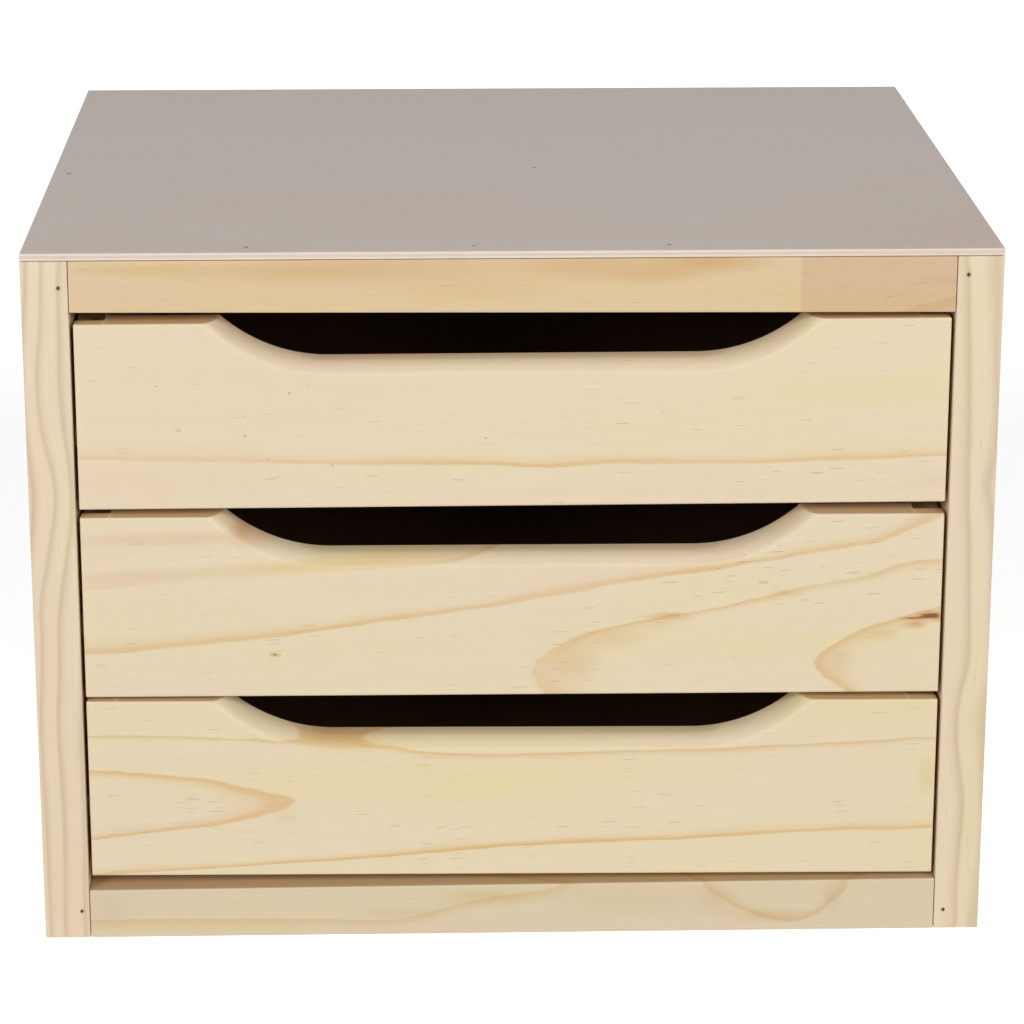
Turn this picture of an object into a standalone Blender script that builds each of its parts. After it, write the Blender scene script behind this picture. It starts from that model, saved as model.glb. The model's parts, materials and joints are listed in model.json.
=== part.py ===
"""A small chest of three drawers in bare pine with a plywood top, in metres.

The origin is on the floor under the middle of the chest. +Z is up, the drawer fronts face -Y, and +X is
to the right of someone who faces them. Each drawer hangs under its own empty, which lies on the line that
the drawer slides along, and slides out along -Y.
"""

import math

import bmesh
import bpy
from mathutils import Vector

# The whole chest
chest_width = 0.400
chest_depth = 0.350
chest_height = 0.300

# What stays open between pieces that are glued or nailed face to face, and how far a cutter overruns
joint_gap = 0.0003
cut_overrun = 0.001

# Carcass boards, and the middle batten's centre line behind the front face
side_thickness = 0.019
top_thickness = 0.003
back_thickness = 0.003
rail_height = 0.0225
rail_depth = 0.030
batten_setback = 0.161

# Open spaces round the drawer fronts, from the bottom rail up to the top rail
front_recess = 0.0015
front_side_gap = 0.0015
bottom_front_under_gap = 0.0047
bottom_front_over_gap = 0.0025
middle_front_over_gap = 0.0039
top_front_over_gap = 0.0039

# Drawer boards: the lip is what the rebate leaves of the front at each end, and the space is what stays
# behind a closed drawer
front_thickness = 0.015
front_lip = 0.007
front_edge_chamfer = 0.0008
drawer_back_space = 0.0155
drawer_side_thickness = 0.012
drawer_side_height = 0.076
drawer_back_thickness = 0.012
drawer_bottom_thickness = 0.003
drawer_bottom_rise = 0.005
drawer_bottom_inset = 0.004

# Finger scoop in a front's top edge: flat in the middle, an arc at each end, rounded towards the face
scoop_width = 0.241
scoop_depth = 0.0173
scoop_end_radius = 0.066
scoop_round_width = 0.0055
scoop_round_depth = 0.013
scoop_arc_steps = 12
scoop_round_steps = 7

# Edges that aren't quite level, as in the photograph: how far each is raised in the middle of the chest, and
# how far it climbs for each metre to the right
front_lifts = {"bottom": -0.0006, "middle": -0.0004, "top": 0.0}
front_climb_shares = {"bottom": -0.0066, "middle": -0.0024, "top": 0.0019}
rail_edge_lifts = {"top_front_rail": 0.0001, "bottom_front_rail": -0.0002}
rail_edge_climb_shares = {"top_front_rail": -0.0055, "bottom_front_rail": 0.0039}

# Runners on the side panels, in grooves along the outside of the drawer sides
runner_height = 0.010
runner_rise = 0.0247
runner_engagement = 0.0045
runner_bearing_gap = 0.0003
runner_lower_gap = 0.0007
runner_tip_gap = 0.0005

# Brads, and how deep a head is punched under the wood's face
brad_head_radius = 0.0008
brad_head_height = 0.0008
brad_shank_radius = 0.00055
brad_point_height = 0.0015
brad_clearance = 0.0003
brad_sides = 10
stile_brad_length = 0.025
stile_brad_seam_distances = {
    "top_left": 0.0046,
    "top_right": 0.0053,
    "bottom_left": 0.0041,
    "bottom_right": 0.0048,
}
stile_brad_height_shares = {"top_left": 0.50, "top_right": 0.65, "bottom_left": 0.53, "bottom_right": 0.37}
stile_brad_sink = 0.0006
stile_brad_angle = math.radians(30)
top_brad_length = 0.020
top_brad_sink = 0.0002
top_brad_front_setback = 0.0095
top_brad_side_inset = 0.0067
top_front_brad_width_shares = {"left": 0.227, "middle": 0.459, "right": 0.658}
top_side_brad_depth_share = 0.439
top_batten_brad_width_share = 0.534
drawer_brad_length = 0.025
drawer_brad_sink = 0.0002
drawer_brad_height_shares = {"lower": 0.27, "upper": 0.83}

# Places that follow from the sizes above
front_face_y = -chest_depth / 2
inner_width = chest_width - 2 * side_thickness
carcass_top_z = chest_height - top_thickness - joint_gap
side_depth = chest_depth - back_thickness - joint_gap
side_back_y = front_face_y + side_depth
opening_bottom_z = rail_height
opening_top_z = carcass_top_z - rail_height
front_gaps = bottom_front_under_gap + bottom_front_over_gap + middle_front_over_gap + top_front_over_gap
front_width = inner_width - 2 * front_side_gap
front_height = (opening_top_z - opening_bottom_z - front_gaps) / 3
drawer_front_y = front_face_y + front_recess
drawer_length = chest_depth - back_thickness - front_recess - drawer_back_space
rebate_width = drawer_side_thickness + joint_gap
rebate_face_y = drawer_front_y + front_lip
runner_thickness = front_side_gap + runner_engagement
drawer_floor_z = {
    "bottom": opening_bottom_z + bottom_front_under_gap,
    "middle": opening_bottom_z + bottom_front_under_gap + front_height + bottom_front_over_gap,
    "top": opening_top_z - top_front_over_gap - front_height,
}
# A sign for each hand: the left side of the chest is at -X
hands = {"left": -1, "right": 1}


def clear_scene():
    """Removes every object, so that the file holds the chest alone."""
    for obj in list(bpy.data.objects):
        bpy.data.objects.remove(obj, do_unlink=True)


def make_material(name, colour, roughness, metallic=0.0):
    """A Principled BSDF with one colour, as linear values."""
    material = bpy.data.materials.new(name)
    material.use_nodes = True
    shader = material.node_tree.nodes["Principled BSDF"]
    shader.inputs["Base Color"].default_value = (*colour, 1.0)
    shader.inputs["Roughness"].default_value = roughness
    shader.inputs["Metallic"].default_value = metallic
    return material


def add_empty(name, location):
    """A frame that pieces are parented to."""
    empty = bpy.data.objects.new(name, None)
    empty.location = location
    bpy.context.scene.collection.objects.link(empty)
    return empty


def add_object(name, mesh_data, parent, location, material=None):
    """Turns a bmesh into a named object, placed in its parent's frame."""
    bmesh.ops.recalc_face_normals(mesh_data, faces=mesh_data.faces)
    mesh = bpy.data.meshes.new(name)
    mesh_data.to_mesh(mesh)
    mesh_data.free()
    obj = bpy.data.objects.new(name, mesh)
    obj.location = location
    obj.parent = parent
    if material:
        mesh.materials.append(material)
    bpy.context.scene.collection.objects.link(obj)
    return obj


def box_bmesh(low, high):
    """A closed box between two corners."""
    low, high = Vector(low), Vector(high)
    mesh_data = bmesh.new()
    bmesh.ops.create_cube(mesh_data, size=1)
    bmesh.ops.scale(mesh_data, vec=high - low, verts=mesh_data.verts)
    bmesh.ops.translate(mesh_data, vec=(low + high) / 2, verts=mesh_data.verts)
    return mesh_data


def add_board(name, parent, low, high, material):
    """A square-edged board between two corners in its parent's frame, with its origin at its middle."""
    low, high = Vector(low), Vector(high)
    middle = (low + high) / 2
    return add_object(name, box_bmesh(low - middle, high - middle), parent, middle, material)


def slope_edge(board, upper):
    """Moves a rail's upper or lower edge by its lift, and by its climb times the place along x."""
    for vert in board.data.vertices:
        if (vert.co.z > 0) == upper:
            vert.co.z += rail_edge_lifts[board.name] + rail_edge_climb_shares[board.name] * vert.co.x


def as_cutter(obj):
    """Hides a helper that only cuts other pieces."""
    obj.hide_render = True
    obj.display_type = "WIRE"
    return obj


def cut(board, cutter):
    """Cuts a helper's shape out of a board."""
    boolean = board.modifiers.new("Cut " + cutter.name, "BOOLEAN")
    boolean.operation = "DIFFERENCE"
    boolean.solver = "EXACT"
    boolean.object = cutter


def cut_box(board, name, low, high):
    """Cuts a box, given in the frame of the board's parent, out of a board."""
    low, high = Vector(low), Vector(high)
    middle = (low + high) / 2
    cut(board, as_cutter(add_object(name, box_bmesh(low - middle, high - middle), board.parent, middle)))


def brad_bmesh(length, grow):
    """A brad along -Z with its head's face at the origin: head, shank and point, each grown by `grow`."""
    rings = [
        (grow, brad_head_radius + grow),
        (-brad_head_height - grow, brad_head_radius + grow),
        (-brad_head_height - grow, brad_shank_radius + grow),
        (brad_point_height - length, brad_shank_radius + grow),
    ]
    mesh_data = bmesh.new()
    loops = []
    for height, radius in rings:
        loop = []
        for side in range(brad_sides):
            turn = math.tau * side / brad_sides
            loop.append(mesh_data.verts.new((radius * math.cos(turn), radius * math.sin(turn), height)))
        loops.append(loop)
    tip = mesh_data.verts.new((0, 0, -length - grow))
    mesh_data.faces.new(loops[0])
    for upper, lower in zip(loops, loops[1:]):
        for side in range(brad_sides):
            after = (side + 1) % brad_sides
            mesh_data.faces.new((upper[side], upper[after], lower[after], lower[side]))
    for side in range(brad_sides):
        mesh_data.faces.new((loops[-1][side], loops[-1][(side + 1) % brad_sides], tip))
    return mesh_data


def drive_brad(name, parent, point, direction, length, sink, boards, material):
    """Drives a brad from a point on the wood's face, in the parent's frame, and bores the boards for it."""
    direction = Vector(direction).normalized()
    turn = Vector((0, 0, -1)).rotation_difference(direction)
    place = Vector(point) + direction * sink
    brad = add_object(name, brad_bmesh(length, 0), parent, place, material)
    # The bore is open to the face, so its cutter's head reaches past the face by the overrun
    bore = brad_bmesh(length, brad_clearance)
    face_ring = [vert for vert in bore.verts if vert.co.z > 0]
    bmesh.ops.translate(bore, vec=(0, 0, sink + cut_overrun), verts=face_ring)
    cutter = as_cutter(add_object(name + "_bore", bore, parent, place))
    for obj in (brad, cutter):
        obj.rotation_mode = "QUATERNION"
        obj.rotation_quaternion = turn
    brad.data.shade_smooth()
    brad.data.set_sharp_from_angle(angle=math.radians(40))
    for board in boards:
        cut(board, cutter)
    return brad


def scoop_outline(offset, top_z):
    """Points along the scoop, from its right end at the top edge to its left end, moved out by `offset`.

    Each end is an arc about a fixed centre, so moving the curve out only lengthens the arc's radius. The
    flat between the arcs drops by the same amount.
    """
    radius = scoop_end_radius + offset
    centre_z = front_height - scoop_depth + scoop_end_radius
    reach = math.sqrt(scoop_end_radius**2 - (scoop_end_radius - scoop_depth) ** 2)
    centre_x = scoop_width / 2 - reach
    end_angle = math.asin((centre_z - top_z) / radius)
    half = []
    for step in range(scoop_arc_steps + 1):
        angle = end_angle + (math.pi / 2 - end_angle) * step / scoop_arc_steps
        half.append((centre_x + radius * math.cos(angle), centre_z - radius * math.sin(angle)))
    return half + [(-x, z) for x, z in reversed(half)]


def front_slice(depth_behind_face):
    """The front's outline at one depth, with the scoop's rounding and the chamfer round the edges."""
    inset = max(front_edge_chamfer - depth_behind_face, 0)
    round_depth = min(scoop_round_depth, front_thickness)
    reach = max(1 - depth_behind_face / round_depth, 0)
    offset = scoop_round_width * (1 - math.sqrt(1 - reach**2))
    half_width, top_z = front_width / 2 - inset, front_height - inset
    corners = [(-half_width, top_z), (-half_width, inset), (half_width, inset), (half_width, top_z)]
    return corners + scoop_outline(offset, top_z)


def front_bmesh(lift, climb):
    """A drawer front with its finger scoop: outlines at rising depths, joined by faces and closed by caps.

    The slices follow a quarter of an ellipse: they lie close together near the face, where the rounding
    turns fastest. Every point is raised by the lift, and by the climb times its place along x.
    """
    round_depth = min(scoop_round_depth, front_thickness)
    depths = {0.0, front_edge_chamfer, front_thickness}
    for step in range(1, scoop_round_steps + 1):
        depths.add(round_depth * (1 - math.cos(math.pi / 2 * step / scoop_round_steps)))
    mesh_data = bmesh.new()
    loops = []
    for depth in sorted(depths):
        outline = front_slice(depth)
        loops.append([mesh_data.verts.new((x, depth, z + lift + climb * x)) for x, z in outline])
    count = len(loops[0])
    for nearer, farther in zip(loops, loops[1:]):
        for index in range(count):
            after = (index + 1) % count
            mesh_data.faces.new((nearer[index], nearer[after], farther[after], farther[index]))
    mesh_data.faces.new(loops[0])
    mesh_data.faces.new(reversed(loops[-1]))
    return mesh_data


def build_carcass(pine, rail_pine, plywood):
    """The fixed boards: panels, top, back, rails and the batten under the top."""
    carcass = add_empty("carcass", (0, 0, 0))
    half_width, half_inner = chest_width / 2, inner_width / 2
    boards = {}
    for hand, sign in hands.items():
        outer, inner = sign * half_width, sign * half_inner
        low = (min(outer, inner), front_face_y, 0)
        high = (max(outer, inner), side_back_y, carcass_top_z)
        boards[hand] = add_board(hand + "_side_panel", carcass, low, high, pine)
    low = (-half_width, front_face_y, chest_height - top_thickness)
    high = (half_width, -front_face_y, chest_height)
    boards["top"] = add_board("top_panel", carcass, low, high, plywood)
    low = (-half_width, side_back_y + joint_gap, 0)
    high = (half_width, -front_face_y, carcass_top_z)
    boards["back"] = add_board("back_panel", carcass, low, high, plywood)
    upper, lower = carcass_top_z - rail_height, 0
    back_rail_y = side_back_y - rail_depth
    batten_y = front_face_y + batten_setback - rail_depth / 2
    rails = {
        "top_front_rail": (front_face_y, upper),
        "bottom_front_rail": (front_face_y, lower),
        "top_back_rail": (back_rail_y, upper),
        "bottom_back_rail": (back_rail_y, lower),
        "top_middle_batten": (batten_y, upper),
    }
    half_rail = half_inner - joint_gap
    for name, (y, z) in rails.items():
        low = (-half_rail, y, z)
        high = (half_rail, y + rail_depth, z + rail_height)
        boards[name] = add_board(name, carcass, low, high, rail_pine)
    slope_edge(boards["top_front_rail"], False)
    slope_edge(boards["bottom_front_rail"], True)
    return carcass, boards


def nail_carcass(carcass, boards, steel):
    """Brads that the photographed faces show: four skewed ones through the panels' front edges into the
    rail ends, and five down through the top."""
    brads = []
    skew_x, skew_y = math.sin(stile_brad_angle), math.cos(stile_brad_angle)
    for level, rail_z in (("top", carcass_top_z - rail_height), ("bottom", 0)):
        for hand, sign in hands.items():
            corner = f"{level}_{hand}"
            head_x = inner_width / 2 + stile_brad_seam_distances[corner]
            head_z = rail_z + rail_height * stile_brad_height_shares[corner]
            brads.append(
                drive_brad(
                    corner + "_stile_brad",
                    carcass,
                    (sign * head_x, front_face_y, head_z),
                    (-sign * skew_x, skew_y, 0),
                    stile_brad_length,
                    stile_brad_sink,
                    (boards[hand], boards[level + "_front_rail"]),
                    steel,
                )
            )
    batten_x = chest_width * (top_batten_brad_width_share - 1 / 2)
    side_x = top_brad_side_inset - chest_width / 2
    side_y = front_face_y + chest_depth * top_side_brad_depth_share
    places = {
        "top_batten_brad": (batten_x, front_face_y + batten_setback, boards["top_middle_batten"]),
        "top_left_edge_brad": (side_x, side_y, boards["left"]),
    }
    for place, share in top_front_brad_width_shares.items():
        x = chest_width * (share - 1 / 2)
        y = front_face_y + top_brad_front_setback
        places[f"top_front_{place}_brad"] = (x, y, boards["top_front_rail"])
    for name, (x, y, board) in places.items():
        point = (x, y, chest_height)
        below = (0, 0, -1)
        targets = (boards["top"], board)
        brads.append(
            drive_brad(name, carcass, point, below, top_brad_length, top_brad_sink, targets, steel)
        )
    return brads


def build_runners(carcass, pine):
    """Two runners for each drawer, fixed to the side panels. Their front ends are the closing stop."""
    front_end_y = rebate_face_y + joint_gap
    for level, floor_z in drawer_floor_z.items():
        for hand, sign in hands.items():
            outer = sign * (inner_width / 2 - joint_gap)
            tip = sign * (inner_width / 2 - runner_thickness)
            low = (min(outer, tip), front_end_y, floor_z + runner_rise)
            high = (max(outer, tip), side_back_y, floor_z + runner_rise + runner_height)
            add_board(f"{level}_{hand}_runner", carcass, low, high, pine)


def build_drawer(level, front_pine, side_pine, hardboard, steel):
    """One drawer, in the frame of an empty at the middle of its front's lower edge."""
    floor_z = drawer_floor_z[level]
    drawer = add_empty(level + "_drawer", (0, drawer_front_y, floor_z))
    prefix = level + "_drawer_"
    half_width = front_width / 2
    half_inside = half_width - drawer_side_thickness

    lift, climb = front_lifts[level], front_climb_shares[level]
    front = add_object(prefix + "front", front_bmesh(lift, climb), drawer, (0, 0, 0), front_pine)
    groove_low_z = drawer_bottom_rise
    groove_high_z = drawer_bottom_rise + drawer_bottom_thickness + 2 * joint_gap
    bottom_reach = drawer_bottom_inset + joint_gap
    cut_box(
        front,
        prefix + "front_groove",
        (-half_width, front_thickness - bottom_reach, groove_low_z),
        (half_width, front_thickness + cut_overrun, groove_high_z),
    )

    sides = {}
    side_front_y = front_lip + joint_gap
    slot_low_z = runner_rise - runner_lower_gap
    slot_high_z = runner_rise + runner_height + runner_bearing_gap
    slot_depth = runner_engagement + runner_tip_gap
    rebate_overrun = cut_overrun + abs(lift) + abs(climb) * half_width
    for hand, sign in hands.items():
        outer, inner = sign * half_width, sign * half_inside
        # The rebate that the side board is let into, cut from the front's end
        past_end, shoulder = sign * (half_width + cut_overrun), sign * (half_width - rebate_width)
        cut_box(
            front,
            f"{prefix}{hand}_rebate",
            (min(past_end, shoulder), front_lip, -rebate_overrun),
            (max(past_end, shoulder), front_thickness + cut_overrun, front_height + rebate_overrun),
        )
        low = (min(outer, inner), side_front_y, 0)
        high = (max(outer, inner), drawer_length, drawer_side_height)
        side = add_board(f"{prefix}{hand}_side", drawer, low, high, side_pine)
        slot_outer, slot_inner = sign * (half_width + cut_overrun), sign * (half_width - slot_depth)
        cut_box(
            side,
            f"{prefix}{hand}_runner_slot",
            (min(slot_outer, slot_inner), side_front_y - cut_overrun, slot_low_z),
            (max(slot_outer, slot_inner), drawer_length + cut_overrun, slot_high_z),
        )
        groove_outer, groove_inner = sign * (half_inside + bottom_reach), sign * (half_inside - cut_overrun)
        cut_box(
            side,
            f"{prefix}{hand}_bottom_groove",
            (min(groove_outer, groove_inner), side_front_y - cut_overrun, groove_low_z),
            (max(groove_outer, groove_inner), drawer_length + cut_overrun, groove_high_z),
        )
        sides[hand] = side

    half_bottom = half_inside + drawer_bottom_inset
    add_board(
        prefix + "bottom",
        drawer,
        (-half_bottom, front_thickness - drawer_bottom_inset, groove_low_z + joint_gap),
        (half_bottom, drawer_length, groove_high_z - joint_gap),
        hardboard,
    )
    half_back = half_inside - joint_gap
    back = add_board(
        prefix + "back",
        drawer,
        (-half_back, drawer_length - drawer_back_thickness, groove_high_z),
        (half_back, drawer_length, drawer_side_height),
        side_pine,
    )

    # Brads through each side board: two into the end of the front between its rebates, one into the back
    tongue_y = (side_front_y + front_thickness) / 2
    back_y = drawer_length - drawer_back_thickness / 2
    places = {
        "lower": (tongue_y, drawer_brad_height_shares["lower"], front),
        "upper": (tongue_y, drawer_brad_height_shares["upper"], front),
        "back": (back_y, drawer_brad_height_shares["upper"], back),
    }
    for hand, sign in hands.items():
        for place, (y, share, board) in places.items():
            drive_brad(
                f"{prefix}{hand}_{place}_brad",
                drawer,
                (sign * half_width, y, drawer_side_height * share),
                (-sign, 0, 0),
                drawer_brad_length,
                drawer_brad_sink,
                (sides[hand], board),
                steel,
            )
    return drawer


def main():
    clear_scene()
    pine = make_material("pine", (0.80, 0.66, 0.49), 0.55)
    rail_pine = make_material("rail_pine", (0.74, 0.56, 0.32), 0.55)
    front_pine = make_material("front_pine", (0.79, 0.66, 0.47), 0.55)
    drawer_pine = make_material("drawer_pine", (0.78, 0.62, 0.44), 0.60)
    plywood = make_material("plywood", (0.60, 0.54, 0.46), 0.60)
    hardboard = make_material("hardboard", (0.14, 0.07, 0.03), 0.50)
    steel = make_material("brad_steel", (0.30, 0.28, 0.26), 0.45, 1.0)
    carcass, boards = build_carcass(pine, rail_pine, plywood)
    build_runners(carcass, pine)
    nail_carcass(carcass, boards, steel)
    for level in drawer_floor_z:
        build_drawer(level, front_pine, drawer_pine, hardboard, steel)


main()
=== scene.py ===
"""Looks for the small pine chest of three drawers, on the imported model.

Each board of the model is replaced by one with eased edges and with its grain worked out through the whole
solid, so that the rings on a face run on over the edges and into the end grain. The brads of the model stay
and get a worn wire finish.

Lengths are in metres, except in the grain figures, which are in millimetres from the chest's left edge and
from the floor.
"""

import json
import math

import bpy
import numpy as np
from bpy.props import FloatProperty, FloatVectorProperty, PointerProperty
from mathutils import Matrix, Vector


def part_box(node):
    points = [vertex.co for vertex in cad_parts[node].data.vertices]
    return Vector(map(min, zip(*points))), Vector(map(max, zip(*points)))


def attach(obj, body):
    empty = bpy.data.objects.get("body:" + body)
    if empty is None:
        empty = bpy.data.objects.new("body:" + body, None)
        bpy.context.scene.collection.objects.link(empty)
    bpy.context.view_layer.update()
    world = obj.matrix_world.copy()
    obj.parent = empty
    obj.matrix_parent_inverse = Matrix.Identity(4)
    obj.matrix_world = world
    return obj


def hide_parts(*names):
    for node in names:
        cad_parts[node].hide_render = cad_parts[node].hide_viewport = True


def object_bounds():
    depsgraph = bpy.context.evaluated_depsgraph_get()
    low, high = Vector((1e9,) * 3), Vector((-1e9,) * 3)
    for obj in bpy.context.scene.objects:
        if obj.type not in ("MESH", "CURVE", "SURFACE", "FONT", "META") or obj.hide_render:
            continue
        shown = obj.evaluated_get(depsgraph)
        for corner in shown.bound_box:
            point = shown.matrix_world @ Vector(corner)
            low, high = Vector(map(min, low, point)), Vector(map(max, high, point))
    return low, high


bl_info = {
    "name": "Pine Chest of Drawers",
    "version": (1, 0, 0),
    "blender": (4, 5, 0),
    "location": "View3D > Sidebar > Chest",
    "description": "Adds the boards, brads and studio of a small pine chest of three drawers",
    "category": "Add Mesh",
}

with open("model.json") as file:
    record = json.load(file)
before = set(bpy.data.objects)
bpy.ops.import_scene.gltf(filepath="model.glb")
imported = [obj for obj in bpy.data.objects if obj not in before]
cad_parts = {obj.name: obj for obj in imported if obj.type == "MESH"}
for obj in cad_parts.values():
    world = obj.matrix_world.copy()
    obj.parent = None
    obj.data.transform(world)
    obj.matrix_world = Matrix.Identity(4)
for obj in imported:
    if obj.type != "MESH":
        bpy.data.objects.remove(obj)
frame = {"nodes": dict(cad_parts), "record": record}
cad_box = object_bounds()

LEVELS = ("bottom", "middle", "top")
HANDS = {"left": -1, "right": 1}
MM = 0.001
BODY_OF = {node: body for body, nodes in frame["record"]["behaviour"]["bodies"].items() for node in nodes}
# Attributes that carry a board's grain, and the kinds of node that its materials use most
WOOD_LABELS = ("grain", "figure", "flaws", "tint")
SPAN, NOISE, CELLS = "ShaderNodeMapRange", "ShaderNodeTexNoise", "ShaderNodeTexVoronoi"
MATHS, MIX, RAMP = "ShaderNodeMath", "ShaderNodeMix", "ShaderNodeValToRGB"
PLACING, PARTS, BUMP = "ShaderNodeMapping", "ShaderNodeSeparateXYZ", "ShaderNodeBump"
WHITE = (1, 1, 1, 1)


def linear(hex_colour):
    """An sRGB hex colour as linear red, green and blue."""
    shares = [int(hex_colour[place : place + 2], 16) / 255 for place in (1, 3, 5)]
    return tuple(share / 12.92 if share <= 0.04045 else ((share + 0.055) / 1.055) ** 2.4 for share in shares)


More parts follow.
